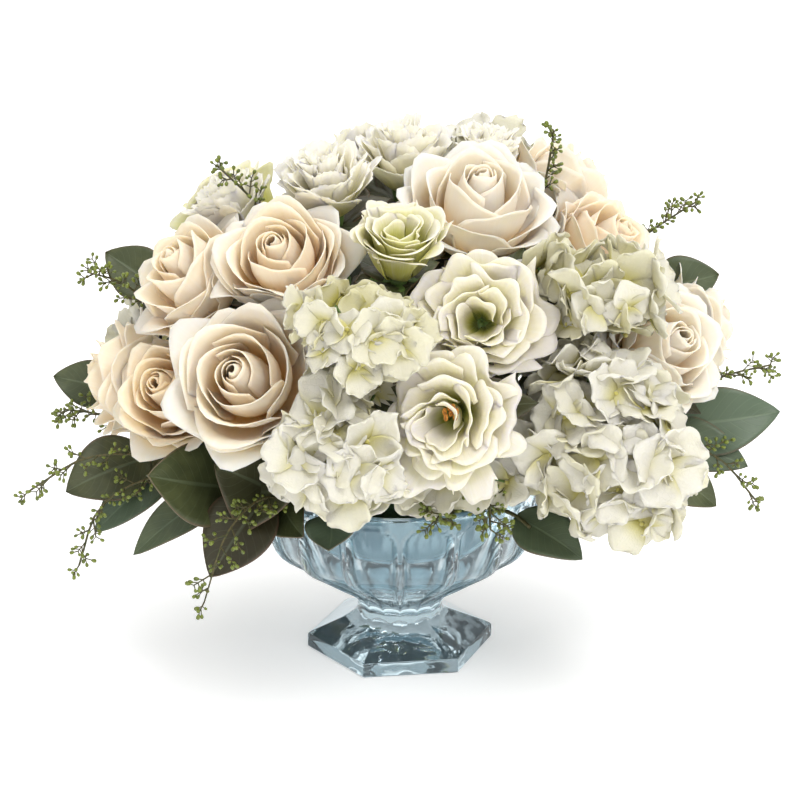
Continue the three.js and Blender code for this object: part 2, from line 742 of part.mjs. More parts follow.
const centrepiece = new THREE.Group();
centrepiece.name = 'floral_centrepiece';
centrepiece.add(meshOf('glass_bowl', 'glass', glassBowl()));
centrepiece.add(meshOf('foam_dish', 'dish', foamDish()));
centrepiece.add(meshOf('foam_block', 'foam', foamBlock([...flowers, ...greenery].map((each) => each.hole))));

flowers.forEach((each, index) => {
  const head = cutBy(each.head, [...rooms.slice(0, index), ...passages]);
  const solid = largestPiece(joined([head, each.stem]));
  centrepiece.add(meshOf(each.name, each.finish, solid, each.matrix));
});

greenery.forEach((each) => {
  const dressing = cutBy(each.dressing, rooms);
  const solid = largestPiece(joined([each.stem, dressing]));
  centrepiece.add(meshOf(each.name, each.finish, solid));
});

export default centrepiece;
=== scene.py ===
"""A floral table centrepiece: a low dome of roses, carnations, lisianthus and hydrangea, with leafy and
seeded eucalyptus, standing in wet foam in a footed bowl of pressed glass.

The tables are in millimetres and degrees, in the part's own frame: +Z is up, the front is -Y, and the origin
is the middle of the underside of the bowl's foot. A place is three values: around, in degrees from the front
towards +X, how far out from the middle line, and its height. A flower's place is given from the heart of the
dome instead: around, up, and its reach. All that reaches Blender is in metres.
"""

import math

import bpy
import numpy as np
from mathutils import Matrix, Vector


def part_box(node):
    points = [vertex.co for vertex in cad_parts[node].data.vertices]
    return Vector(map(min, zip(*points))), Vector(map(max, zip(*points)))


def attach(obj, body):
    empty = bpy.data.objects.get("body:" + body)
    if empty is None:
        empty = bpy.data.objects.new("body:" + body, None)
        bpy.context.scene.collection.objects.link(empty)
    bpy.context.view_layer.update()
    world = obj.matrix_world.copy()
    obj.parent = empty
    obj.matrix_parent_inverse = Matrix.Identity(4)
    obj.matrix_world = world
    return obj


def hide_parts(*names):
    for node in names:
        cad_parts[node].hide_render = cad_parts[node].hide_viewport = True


bl_info = {
    "name": "Floral centrepiece",
    "version": (1, 0, 0),
    "blender": (4, 5, 0),
    "location": "View3D > Sidebar > Centrepiece",
    "description": "Models a bowl of roses, carnations, lisianthus, hydrangea and eucalyptus",
    "category": "Object",
}

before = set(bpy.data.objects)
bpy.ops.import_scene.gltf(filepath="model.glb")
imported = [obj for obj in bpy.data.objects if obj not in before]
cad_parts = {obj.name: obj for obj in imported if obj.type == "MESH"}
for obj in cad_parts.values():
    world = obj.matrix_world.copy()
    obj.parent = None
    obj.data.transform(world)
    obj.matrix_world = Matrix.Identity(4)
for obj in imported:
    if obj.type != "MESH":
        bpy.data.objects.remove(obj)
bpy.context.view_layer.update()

MM = 0.001

# The dome that the flowers make, and the foam that their stems stand in
HEART = Vector((0, 0, 125))
FOAM_RADIUS = 56
FOAM_TOP = 148
STEM_DEPTH = 15
STEM_AIM_HEIGHT = 88
TRAILING_AIM_HEIGHT = 107
TRAILING_BELOW = 125
ELBOW = 3
# Where a stem meets its head, in the head's own frame
NECK = Vector((0, 0, -0.72))
# Where the random numbers of each kind of piece start
SEEDS = {"rose": 100, "carnation": 200, "lisianthus": 300, "hydrangea": 400, "leafy": 500, "seeded": 600}

# Flowers, those in front first: a later one is pressed aside by an earlier one.
# kind, around, up and reach from the heart, radius of the head, and where it faces: around and up
FLOWERS = [
    ("rose_1", -36, 30, 168, 42, -14, 30),
    ("lisianthus_2", 10, 26, 171, 36, -8, 18),
    ("lisianthus_1", 23, 45, 169, 37, 4, 30),
    ("hydrangea_4", 45, 15, 158, 57, 40, 12),
    ("rose_3", -40, 54, 176, 37, -14, 46),
    ("rose_6", 52, 71, 175, 43, 12, 60),
    ("hydrangea_2", -13, 20, 149, 42, -14, 14),
    ("rose_9", 73, 27, 181, 38, 36, 30),
    ("rose_2", -70, 44, 180, 38, -60, 44),
    ("lisianthus_3", 0, 60, 175, 31, 4, 66),
    ("hydrangea_1", -9, 39, 173, 41, -10, 34),
    ("rose_8", 83, 48, 183, 34, 58, 42),
    ("rose_4", -61, 23, 163, 34, -30, 32),
    ("rose_5", -84, 18, 178, 35, -88, 14),
    ("carnation_1", 175, 80, 178, 36, 5, 76),
    ("carnation_2", -60, 74, 178, 34, -30, 68),
    ("hydrangea_3", 54, 42, 174, 43, 48, 40),
    ("rose_7", 110, 55, 191, 40, 98, 45),
    ("rose_10", 92, 24, 200, 31, 92, 18),
    ("carnation_3", -92, 57, 181, 31, -80, 58),
    ("carnation_4", 120, 71, 186, 31, 80, 74),
    ("rose_11", 148, 19, 160, 43, 148, 20),
    ("rose_12", -156, 41, 168, 44, -155, 42),
    ("rose_13", 116, 33, 178, 44, 118, 32),
    ("lisianthus_4", -173, 20, 158, 43, -174, 20),
    ("lisianthus_5", -118, 49, 179, 42, -116, 44),
    ("hydrangea_5", -127, 17, 160, 55, -127, 15),
    ("hydrangea_6", 152, 50, 171, 46, 150, 50),
    ("carnation_5", -162, 67, 173, 40, -164, 66),
]

# Leafy eucalyptus: the way that its leaves face, around, then the stem's places outside the foam, then each
# leaf: how far along the stem it grows, the place of its tip, its width, and its age, from 0 for blue-green
# to 1 for brown
LEAFY = [
    ("eucalyptus_1", -10, [(-99, 108, 182), (-98, 146, 222)],
     [(1, -98, 178, 243, 34, 0.5), (0.85, -107, 170, 216, 26, 0.8)]),
    ("eucalyptus_2", -10, [(-101, 120, 140), (-97, 174, 158)],
     [(1, -96, 212, 166, 30, 0.4), (0.85, -105, 205, 152, 24, 0.7)]),
    ("eucalyptus_3", -20, [(-75, 90, 119), (-75, 130, 132), (-75, 152, 136)],
     [(1, -74, 202, 120, 42, 0.7), (0.8, -71, 188, 97, 30, 0.1)]),
    ("eucalyptus_4", -30, [(-55, 90, 119), (-53, 124, 130)],
     [(1, -59, 177, 95, 26, 0.3), (0.97, -51, 180, 151, 50, 0.6), (0.8, -25, 135, 146, 46, 0.8)]),
    ("eucalyptus_5", -20, [(-41, 90, 119), (-40, 118, 131)],
     [(1, -42, 158, 92, 44, 1.0), (0.75, -24, 131, 117, 28, 0.5), (0.6, -43, 150, 156, 52, 0.8)]),
    ("eucalyptus_6", -10, [(-19, 90, 119), (-20, 112, 126)],
     [(1, -17, 134, 112, 30, 0.0)]),
    ("eucalyptus_7", 20, [(34, 90, 119), (34, 116, 121), (34, 130, 118)],
     [(0.7, 39, 160, 106, 32, 0.2)]),
    ("eucalyptus_8", 30, [(69, 90, 119), (69, 130, 130), (71, 152, 136)],
     [(0.9, 60, 168, 112, 32, 0.4), (1, 74, 192, 110, 32, 0.6)]),
    ("eucalyptus_9", 20, [(84, 120, 134), (85, 160, 147)],
     [(1, 86, 226, 156, 42, 0.1), (0.85, 82, 208, 126, 34, 0.2)]),
    ("eucalyptus_10", 20, [(92, 122, 196), (94, 152, 224)],
     [(1, 92, 189, 234, 34, 0.3), (0.92, 106, 182, 222, 26, 0.7)]),
    ("eucalyptus_11", 130, [(118, 90, 119), (118, 142, 133)],
     [(1, 116, 196, 116, 38, 0.4), (0.8, 125, 178, 94, 32, 0.8)]),
    ("eucalyptus_12", 175, [(167, 90, 119), (167, 126, 131)],
     [(1, 164, 180, 108, 38, 0.1), (0.8, 173, 165, 92, 32, 0.6)]),
    ("eucalyptus_13", -130, [(-112, 90, 119), (-113, 142, 133)],
     [(1, -112, 196, 114, 38, 0.5), (0.8, -122, 180, 96, 32, 0.2)]),
]

# Seeded eucalyptus: the twig's places outside the foam, from its foot to its tip
SEEDED = [
    ("seeded_1", [(-82, 60, 220), (-80, 78, 272), (-79, 105, 304)]),
    ("seeded_2", [(-95, 122, 182), (-90, 156, 226), (-84, 182, 242)]),
    ("seeded_3", [(-90, 122, 134), (-90, 180, 149), (-90, 201, 152)]),
    ("seeded_4", [(-68, 90, 119), (-68, 132, 136), (-70, 182, 146), (-75, 223, 121)]),
    ("seeded_5", [(-63, 90, 119), (-65, 142, 133), (-67, 182, 122), (-68, 200, 82)]),
    ("seeded_6", [(-33, 90, 119), (-33, 130, 138), (-34, 162, 132), (-37, 178, 88)]),
    ("seeded_7", [(13, 90, 119), (13, 116, 134), (8, 134, 131)]),
    ("seeded_8", [(25, 90, 119), (25, 114, 133), (22, 133, 123)]),
    ("seeded_9", [(90, 62, 215), (90, 82, 280), (91, 89, 321)]),
    ("seeded_10", [(104, 108, 216), (99, 147, 253), (97, 176, 274)]),
    ("seeded_11", [(93, 122, 136), (92, 186, 168), (90, 221, 180)]),
    ("seeded_12", [(78, 90, 119), (78, 136, 138), (78, 182, 140), (78, 214, 110)]),
    ("seeded_13", [(140, 90, 119), (141, 140, 126), (143, 188, 98)]),
    ("seeded_14", [(-152, 90, 119), (-152, 138, 120), (-153, 182, 92)]),
]


def linear(code):
    """A colour written as sRGB hex, turned to linear red, green and blue."""
    parts = [int(code[i:i + 2], 16) / 255 for i in (0, 2, 4)]
    return [c / 12.92 if c <= 0.04045 else ((c + 0.055) / 1.055) ** 2.4 for c in parts]


def place(around, out, height):
    """A point from its angle from the front, its distance from the middle line and its height."""
    angle = math.radians(around)
    return Vector((out * math.sin(angle), -out * math.cos(angle), height))


def direction(around, up):
    """The way that points around and up, both in degrees."""
    rise = math.radians(up)
    return place(around, math.cos(rise), math.sin(rise))


def lerp(a, b, t):
    """The value that lies t of the way from a to b."""
    return a + (b - a) * t


def slope(value, start, end):
    """0 up to the start, 1 from the end on, and even between them."""
    return np.clip((value - start) / (end - start), 0, 1)


def bell(value, middle, width):
    """1 at the middle, and less with the distance from it."""
    return np.exp(-((value - middle) / width) ** 2)


# Settings


def colour_property(name, description, code):
    return bpy.props.FloatVectorProperty(
        name=name, description=description, subtype="COLOR", size=3, min=0, max=1, default=linear(code))


def length_property(name, description, millimetres):
    return bpy.props.FloatProperty(
        name=name, description=description, unit="LENGTH", min=0, default=millimetres * MM)


class BowlSettings(bpy.types.PropertyGroup):
    """Sizes and colours of the bowl and what it holds."""

    flute_depth: length_property("Flute depth", "How deep the arched panels are pressed into the wall", 3.6)
    glass_tint: colour_property("Glass tint", "Cast of the pressed glass", "DAEFF7")
    dish_colour: colour_property("Dish colour", "Frosted plastic of the foam's dish", "F6FBFD")
    foam_colour: colour_property("Foam colour", "Wet floral foam", "3B5A38")


class RoseSettings(bpy.types.PropertyGroup):
    """Sizes and colours of the roses."""

    thickness: length_property("Petal thickness", "Thickness of a rose petal", 0.4)
    lip: colour_property("Lip", "Colour of a petal near its lip", "F6EBD7")
    # The heart's peach is partly the rose's own colour and partly a painted glow of light bounced deep
    # between the petals
    heart: colour_property("Heart", "Colour deep between the petals", "FFC97E")
    guard: colour_property("Guard", "Greenish cast at the foot of the outer petals", "DDD8B0")


class CarnationSettings(bpy.types.PropertyGroup):
    """Sizes and colours of the carnations."""

    thickness: length_property("Petal thickness", "Thickness of a carnation petal", 0.35)
    edge: colour_property("Edge", "Colour of a ruffled edge", "ECE6D4")
    foot: colour_property("Foot", "Colour of a petal's foot", "D8D090")


class LisianthusSettings(bpy.types.PropertyGroup):
    """Sizes and colours of the lisianthus."""

    thickness: length_property("Petal thickness", "Thickness of a lisianthus petal", 0.32)
    lip: colour_property("Lip", "Colour of a petal near its lip", "F2EACB")
    throat: colour_property("Throat", "Colour of a petal's foot", "D0CF62")
    stamen: colour_property("Stamen", "Colour of the anthers", "C9862F")


class HydrangeaSettings(bpy.types.PropertyGroup):
    """Sizes and colours of the hydrangeas."""

    thickness: length_property("Sepal thickness", "Thickness of a sepal", 0.45)
    floret: length_property("Floret radius", "From a floret's middle to the tip of a sepal", 21)
    sepal: colour_property("Sepal", "Colour of a sepal", "DBD7C9")
    middle: colour_property("Middle", "Colour of a floret's middle", "C0B75F")


class EucalyptusSettings(bpy.types.PropertyGroup):
    """Sizes and colours of the eucalyptus, leafy and seeded."""

    thickness: length_property("Leaf thickness", "Thickness of a leaf", 0.7)
    leaf: colour_property("Leaf", "Upper face of a leaf", "434B2B")
    vein: colour_property("Vein", "Midrib and side veins", "8FA080")
    margin: colour_property("Margin", "Reddish edge of a leaf", "7A5A4A")
    pod: colour_property("Pod", "Seed pods", "758130")
    twig: colour_property("Twig", "Bark of the thin twigs", "5A5230")
    stem: colour_property("Stem", "Green flower stems", "6E8A4A")


class StageSettings(bpy.types.PropertyGroup):
    """The floor, the light and the camera."""

    floor: colour_property("Floor", "Plain pale floor", "FAFAFA")
    camera_distance: length_property("Camera distance", "From the camera to the aim", 1300)
    camera_height: bpy.props.FloatProperty(
        name="Camera angle", description="How far the camera looks down", subtype="ANGLE",
        default=math.radians(18))


# Materials

# Kinds of shader node: Blender's name, its settings, the inputs that its values go to, and the output in use
NODES = {
    "map": ("UVMap", {"uv_map": "UVMap"}, (), "UV"),
    "tint": ("Attribute", {"attribute_name": "tint"}, (), "Fac"),
    "spot": ("TexCoord", {}, (), "Object"),
    "sky": ("TexCoord", {}, (), "Generated"),
    "x": ("SeparateXYZ", {}, (0,), "X"),
    "y": ("SeparateXYZ", {}, (0,), "Y"),
    "z": ("SeparateXYZ", {}, (0,), "Z"),
    "stretched": ("Mapping", {}, ("Vector", "Scale"), 0),
    "noise": ("TexNoise", {}, ("Vector", "Scale", "Detail"), "Fac"),
    "cells": ("TexVoronoi", {}, ("Vector", "Scale"), "Distance"),
    "net": ("TexVoronoi", {"feature": "DISTANCE_TO_EDGE"}, ("Vector", "Scale"), "Distance"),
    "mix": ("Mix", {"data_type": "RGBA"}, (0, 6, 7), 2),
    "step": ("MapRange", {"interpolation_type": "SMOOTHSTEP"}, (0, 1, 2, 3, 4), 0),
    "minus": ("Math", {"operation": "SUBTRACT"}, (0, 1), 0),
    "times": ("Math", {"operation": "MULTIPLY"}, (0, 1), 0),
    "plus": ("Math", {"operation": "ADD"}, (0, 1), 0),
    "plus_up_to_1": ("Math", {"operation": "ADD", "use_clamp": True}, (0, 1), 0),
    "size": ("Math", {"operation": "ABSOLUTE"}, (0,), 0),
    "sine": ("Math", {"operation": "SINE"}, (0,), 0),
    "larger": ("Math", {"operation": "MAXIMUM"}, (0, 1), 0),
    "ribs": ("Bump", {}, ("Height", "Strength", "Distance"), "Normal"),
    "grooves": ("Bump", {"invert": True}, ("Height", "Strength", "Distance"), "Normal"),
}
# The place on a petal or leaf: along it, from 0 at its foot to 1 at its lip, and across it, from 0 at its
# middle to 1 at either side
MAP = ("map",)
ALONG = ("y", MAP)
ACROSS = ("times", ("size", ("minus", ("x", MAP), 0.5)), 2.0)
# Each copy's own number, and the place in the part's frame
TINT = ("tint",)
SPOT = ("spot",)


class Shading:
    """A node tree being filled. A node is written as its kind and its values, and is made only once."""

    def __init__(self, owner):
        owner.use_nodes = True
        self.tree = owner.node_tree
        self.made = {}

    def add(self, node):
        """Adds a node with its settings and links, unless it is there, and gives the output that is used."""
        if node not in self.made:
            kind, settings, inputs, output = NODES[node[0]]
            new = self.tree.nodes.new("ShaderNode" + kind)
            for name, value in settings.items():
                setattr(new, name, value)
            for name, value in zip(inputs, node[1:]):
                self.fill(new.inputs[name], value)
            self.made[node] = new.outputs[output]
        return self.made[node]

    def fill(self, socket, value):
        """Gives a socket its number, its colour or the output of a node."""
        if isinstance(value, tuple) and isinstance(value[0], str):
            self.tree.links.new(self.add(value), socket)
        elif socket.type == "RGBA":
            socket.default_value = (*(linear(value) if isinstance(value, str) else value), 1)
        else:
            socket.default_value = value


def material(name, sockets):
    """A material whose shader's sockets are given numbers, colours or nodes."""
    made = bpy.data.materials.new(name)
    shading = Shading(made)
    shader = shading.tree.nodes["Principled BSDF"]
    for socket, value in sockets.items():
        shading.fill(shader.inputs[socket], value)
    return made


def petal_veins(ribs):
    """Fine veins that run from a petal's foot to its lip."""
    return ("noise", ("stretched", MAP, (ribs, 1.5, 1.0)), 1.0, 3.0)


def soft_petal(weight, radius, colours=(1.0, 0.92, 0.75)):
    """Light that soaks into a thin petal and comes out nearby, within a radius in millimetres."""
    return {"Subsurface Weight": weight, "Subsurface Scale": radius * MM, "Subsurface Radius": colours}


def rose_petal_material(settings):
    """Rose petal: velvety cream, greenish at its foot, and peach where it lies deep between its neighbours:
    partly its own colour, partly a painted glow of light bounced between the petals.
    """
    veins = petal_veins(34.0)
    # Painted glow, with the rose's own peach: more peach towards each petal's foot and on the inner petals
    peach_and_bounced_glow = ("plus_up_to_1", ("times", ("step", ALONG, 0.78, 0.25), 0.8), ("times", TINT, 0.28))
    outer = ("times", ("step", ALONG, 0.5, 0.1), ("step", TINT, 0.35, 0.0))
    colour = ("mix", outer, ("mix", peach_and_bounced_glow, settings.lip[:], settings.heart[:]), settings.guard[:])
    return material("rose petal", {
        "Base Color": ("mix", ("times", ("step", veins, 0.45, 0.75), 0.12), colour, "FFFDF8"),
        "Roughness": 0.62,
        "Sheen Weight": 0.15,
        "Normal": ("ribs", veins, 0.25, 0.25 * MM),
        **soft_petal(0.6, 4.0, (1.0, 0.75, 0.45)),
    })


def carnation_petal_material(settings):
    """Carnation petal: dry and white, with a yellow-green foot that shows deep in the ruffles."""
    veins = petal_veins(40.0)
    colour = ("mix", ("step", ALONG, 0.9, 0.25), settings.edge[:], settings.foot[:])
    return material("carnation petal", {
        "Base Color": ("mix", ("times", ("step", veins, 0.55, 0.3), 0.2), colour, "E6E6DC"),
        "Roughness": 0.75,
        "Normal": ("ribs", veins, 0.25, 0.3 * MM),
        **soft_petal(0.6, 3.0, (1.0, 0.95, 0.5)),
    })


def lisianthus_petal_material(settings):
    """Lisianthus petal: thin, silky and creamy, with a green throat. tint greens the whole petal."""
    veins = petal_veins(26.0)
    throat = ("plus_up_to_1", ("step", ALONG, 0.55, 0.1), ("times", TINT, ("step", ALONG, 1.15, 0.2)))
    colour = ("mix", throat, settings.lip[:], settings.throat[:])
    colour = ("mix", ("times", ("step", ACROSS, 0.12, 0.0), 0.18), colour, "DEDCAE")
    colour = ("mix", ("step", ALONG, 0.3, 0.08), colour, "75822E")
    return material("lisianthus petal", {
        "Base Color": ("mix", ("times", ("step", veins, 0.45, 0.75), 0.15), colour, "FFFFFA"),
        "Roughness": 0.5,
        "Sheen Weight": 0.1,
        "Normal": ("ribs", veins, 0.25, 1.2 * MM),
        **soft_petal(0.6, 3.5, (0.95, 1.0, 0.4)),
    })


def hydrangea_sepal_material(settings):
    """Hydrangea sepal: white with a net of fine veins, yellow-green where the four meet. tint spreads more
    of the yellow-green: partly the floret's own greening, partly painted shade on deep florets and shaded
    heads.
    """
    veins = ("larger", ("step", ("net", MAP, 11.0), 0.12, 0.0), ("step", ACROSS, 0.1, 0.0))
    middle = ("plus_up_to_1", ("times", ("step", ALONG, 0.57, 0.0), 0.8), ("times", TINT, 0.38))
    colour = ("mix", middle, settings.sepal[:], settings.middle[:])
    return material("hydrangea sepal", {
        "Base Color": ("mix", ("times", veins, 0.12), colour, "C4C5B4"),
        "Roughness": 0.6,
        "Normal": ("grooves", veins, 0.35, 0.3 * MM),
        **soft_petal(0.4, 2.5, (1.0, 0.98, 0.6)),
    })


def eucalyptus_leaf_material(settings):
    """Eucalyptus leaf: leathery grey-green, blotched with a waxy bloom, with a pale midrib, pale side veins
    and a red margin. tint is its age."""
    slanted = ("plus", ("times", ACROSS, -0.28), ALONG)
    side_veins = ("times", ("step", ("sine", ("times", slanted, 62.0)), 0.86, 1.0), 0.3)
    veins = ("larger", ("step", ACROSS, 0.07, 0.015), side_veins)
    waxy = ("times", ("step", ("noise", SPOT, 90.0, 4.0), 0.4, 0.7), 0.6)
    colour = ("mix", waxy, settings.leaf[:], "5A613C")
    colour = ("mix", ("step", TINT, 0.0, 0.5), "556651", colour)
    colour = ("mix", ("step", TINT, 0.5, 1.0, 0.0, 0.85), colour, "3A3322")
    colour = ("mix", ("times", veins, 0.2), colour, settings.vein[:])
    return material("eucalyptus leaf", {
        "Base Color": ("mix", ("times", ("step", ACROSS, 0.92, 1.0), 0.4), colour, settings.margin[:]),
        "Roughness": 0.48,
        "Normal": ("grooves", veins, 0.5, 0.35 * MM),
        **soft_petal(0.08, 1.5),
    })


def stem_material(settings):
    """Flower stem: smooth and green, with faint streaks."""
    streaks = ("times", ("noise", SPOT, 260.0, 3.0), 0.6)
    colour = ("mix", streaks, settings.stem[:], "4E6B38")
    return material("flower stem", {"Base Color": colour, "Roughness": 0.5})


def pod_material(settings):
    """Seed pod: waxy and olive green, mottled."""
    mottle = ("step", ("noise", SPOT, 420.0, 2.0), 0.4, 0.65)
    colour = ("mix", mottle, settings.pod[:], "5E6A2C")
    return material("seed pod", {"Base Color": colour, "Roughness": 0.38})


def twig_material(settings):
    """Twig: thin brown-green bark with fine cracks."""
    bark = ("noise", SPOT, 500.0, 4.0)
    return material("eucalyptus twig", {
        "Base Color": ("mix", ("step", bark, 0.4, 0.65), settings.twig[:], "3E4422"),
        "Roughness": 0.65,
        "Normal": ("ribs", bark, 0.4, 0.2 * MM),
    })


def anther_material(settings):
    """Anther: matt orange pollen."""
    grains = ("step", ("noise", SPOT, 1500.0), 0.4, 0.6)
    colour = ("mix", grains, settings.stamen[:], "7A4A18")
    return material("anther", {"Base Color": colour, "Roughness": 0.9})


def glass_material(settings):
    """Pressed soda-lime glass: clear and fire polished, with a pale blue cast and a faint waviness from the
    mould. tint clears it where it is above 0, a painted highlight along each arch's bead, and darkens it
    below, a painted shade just inside the bead and a darker foot."""
    # Below 0 it darkens: a painted shade along the inside of each arch's bead, and the darker foot
    colour = ("mix", ("step", TINT, 0.0, -1.0), settings.glass_tint[:], "54808F")
    return material("pressed glass", {
        # Painted highlight: the glass is left clear white along each arch's bead
        "Base Color": ("mix", ("step", TINT, 0.0, 1.0), colour, "FFFFFF"),
        "Transmission Weight": 0.94,
        "IOR": 1.5,
        "Roughness": 0.02,
        "Normal": ("ribs", ("noise", SPOT, 55.0, 1.0), 0.25, 1.0 * MM),
    })


def dish_material(settings):
    """Thin polypropylene: milky, moulded with a faint grain, with wet streaks, and darker and bluer towards
    its foot, a painted shade.
    """
    wet = ("noise", ("stretched", SPOT, (75.0, 75.0, 14.0)), 1.0, 4.0)
    height = ("z", SPOT)
    streaks = ("times", ("step", wet, 0.42, 0.58), ("step", height, 70 * MM, 90 * MM))
    colour = ("mix", streaks, settings.dish_colour[:], "8AA6B3")
    return material("frosted polypropylene", {
        # Painted shade: darker and bluer below 96 mm, down to its foot
        "Base Color": ("mix", ("step", height, 96 * MM, 74 * MM), colour, "A3B8C1"),
        "Roughness": 0.4,
        "Transmission Weight": 0.05,
        "Normal": ("ribs", ("noise", SPOT, 900.0, 2.0), 0.15, 0.1 * MM),
    })


def foam_material(settings):
    """Wet phenolic foam: dark green and matt, open-celled and grainy."""
    damp = ("step", ("noise", SPOT, 60.0, 4.0), 0.35, 0.7)
    return material("wet floral foam", {
        "Base Color": ("mix", damp, settings.foam_colour[:], "24382A"),
        "Roughness": 0.85,
        "Normal": ("ribs", ("cells", SPOT, 700.0), 0.6, 0.5 * MM),
    })


def floor_material(settings):
    """Plain pale paper, which glows a little so that it stays white."""
    return material("pale paper", {
        "Base Color": settings.floor[:],
        "Roughness": 0.9,
        "Specular IOR Level": 0.1,
        "Emission Color": "FFFFFF",
        "Emission Strength": 0.33,
    })


# Modelling


def deselect_all():
    bpy.ops.object.select_all(action="DESELECT")


def link(thing):
    bpy.context.scene.collection.objects.link(thing)


def select_only(piece):
    deselect_all()
    piece.select_set(True)
    bpy.context.view_layer.objects.active = piece


def thicken(piece, thickness):
    """Gives a sheet its thickness, half to each side."""
    modifier = piece.modifiers.new("thickness", "SOLIDIFY")
    modifier.thickness = thickness
    modifier.offset = 0.0
    select_only(piece)
    bpy.ops.object.modifier_apply(modifier=modifier.name)


def smooth(piece, degrees=180):
    """Shades a piece smooth, all over or up to an angle."""
    select_only(piece)
    if degrees < 180:
        bpy.ops.object.shade_smooth_by_angle(angle=math.radians(degrees))
    else:
        bpy.ops.object.shade_smooth()


def merge_and_turn_out(piece):
    """Merges doubled points and turns the faces outwards."""
    select_only(piece)
    bpy.ops.object.mode_set(mode="EDIT")
    bpy.ops.mesh.select_all(action="SELECT")
    bpy.ops.mesh.remove_doubles(threshold=1e-6)
    bpy.ops.mesh.normals_make_consistent(inside=False)
    bpy.ops.object.mode_set(mode="OBJECT")


def join(pieces, name):
    """Joins pieces into the first and names it."""
    deselect_all()
    for piece in pieces:
        piece.select_set(True)
    bpy.context.view_layer.objects.active = pieces[0]
    if len(pieces) > 1:
        bpy.ops.object.join()
    pieces[0].name = name
    pieces[0].data.name = name
    return pieces[0]


class Blank:
    """A shape that repeats, taken from a primitive that is then removed: its points, its faces, its map, and
    odd, which is 1 and -1 by turns from point to point."""

    def __init__(self, piece):
        mesh = piece.data
        points = np.empty(len(mesh.vertices) * 3)
        mesh.vertices.foreach_get("co", points)
        self.points = points.reshape(-1, 3)
        self.faces = [tuple(face.vertices) for face in mesh.polygons]
        self.u = self.points[:, 0]
        self.v = (self.points[:, 1] + 1) / 2
        self.odd = np.rint(self.points[:, :2] * 50).sum(axis=1) % 2 * 2 - 1
        bpy.data.objects.remove(piece)
        bpy.data.meshes.remove(mesh)


def flat_blank(across, along):
    """A flat sheet of faces, from -1 to 1 both ways, that petals and leaves are bent from."""
    deselect_all()
    bpy.ops.mesh.primitive_grid_add(x_subdivisions=across, y_subdivisions=along, size=2)
    return Blank(bpy.context.object)


def round_blank(detail):
    """A small round body with a radius of 1."""
    deselect_all()
    bpy.ops.mesh.primitive_ico_sphere_add(subdivisions=detail, radius=1)
    return Blank(bpy.context.object)


class Copies:
    """Copies of blanks, gathered into one mesh, each with its own points, map and tint."""

    def __init__(self):
        self.points = []
        self.faces = []
        self.maps = []
        self.tints = []
        self.count = 0

    def add(self, blank, points, tint=0.0):
        self.points.append(points)
        self.faces += [tuple(i + self.count for i in face) for face in blank.faces]
        self.maps.append(np.column_stack([(blank.u + 1) / 2, blank.v]))
        self.tints.append(np.full(len(points), tint) if np.isscalar(tint) else tint)
        self.count += len(points)

    def piece(self, name, material):
        """The gathered copies as one piece, in metres."""
        mesh = bpy.data.meshes.new(name)
        mesh.from_pydata((np.concatenate(self.points) * MM).tolist(), [], self.faces)
        corners = np.empty(len(mesh.loops), dtype=np.int32)
        mesh.loops.foreach_get("vertex_index", corners)
        layer = mesh.uv_layers.new(name="UVMap")
        layer.data.foreach_set("uv", np.concatenate(self.maps)[corners].ravel())
        tint = mesh.attributes.new("tint", "FLOAT", "POINT")
        tint.data.foreach_set("value", np.concatenate(self.tints))
        mesh.materials.append(material)
        piece = bpy.data.objects.new(name, mesh)
        link(piece)
        return piece

    def sheet(self, name, material, thickness):
        """The gathered copies as one smooth piece with a thickness."""
        piece = self.piece(name, material)
        thicken(piece, thickness)
        smooth(piece)
        return piece


def tubes(name, runs, material, sides=2):
    """Round rods along rows of points, in millimetres. A run is its points and their radii."""
    curve = bpy.data.curves.new(name, "CURVE")
    curve.dimensions = "3D"
    curve.bevel_depth = MM
    curve.bevel_resolution = sides
    curve.use_fill_caps = True
    for points, radii in runs:
        spline = curve.splines.new("POLY")
        spline.points.add(len(points) - 1)
        for target, point, radius in zip(spline.points, points, radii):
            target.co = (*(Vector(point) * MM), 1)
            target.radius = radius
    piece = bpy.data.objects.new(name, curve)
    link(piece)
    select_only(piece)
    bpy.ops.object.convert(target="MESH")
    piece = bpy.context.object
    piece.data.materials.clear()
    piece.data.materials.append(material)
    merge_and_turn_out(piece)
    smooth(piece)
    return piece


def stand_for(piece, node):
    """A finished piece takes the place of its node in the frame."""
    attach(piece, "root")
    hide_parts(node)


# Lines that stems follow


def catmull_rom(points, share):
    """The point a share of the way along a smooth line through points."""
    last = len(points) - 1
    whole = last * share
    start = min(int(whole), last - 1)
    part = whole - start
    p1, p2 = points[start], points[start + 1]
    p0 = points[start - 1] if start > 0 else p1 * 2 - p2
    p3 = points[start + 2] if start + 2 <= last else p2 * 2 - p1
    gaps = [max((b - a).length_squared, 1e-9) ** 0.25 for a, b in ((p0, p1), (p1, p2), (p2, p3))]
    g0, g1, g2 = gaps
    t1 = ((p1 - p0) / g0 - (p2 - p0) / (g0 + g1) + (p2 - p1) / g1) * g1
    t2 = ((p2 - p1) / g1 - (p3 - p1) / (g1 + g2) + (p3 - p2) / g2) * g1
    square = (p2 - p1) * 3 - t1 * 2 - t2
    cube = (p1 - p2) * 2 + t1 + t2
    return p1 + t1 * part + square * part ** 2 + cube * part ** 3


def smooth_row(points, steps):
    return [catmull_rom(points, k / steps) for k in range(steps + 1)]


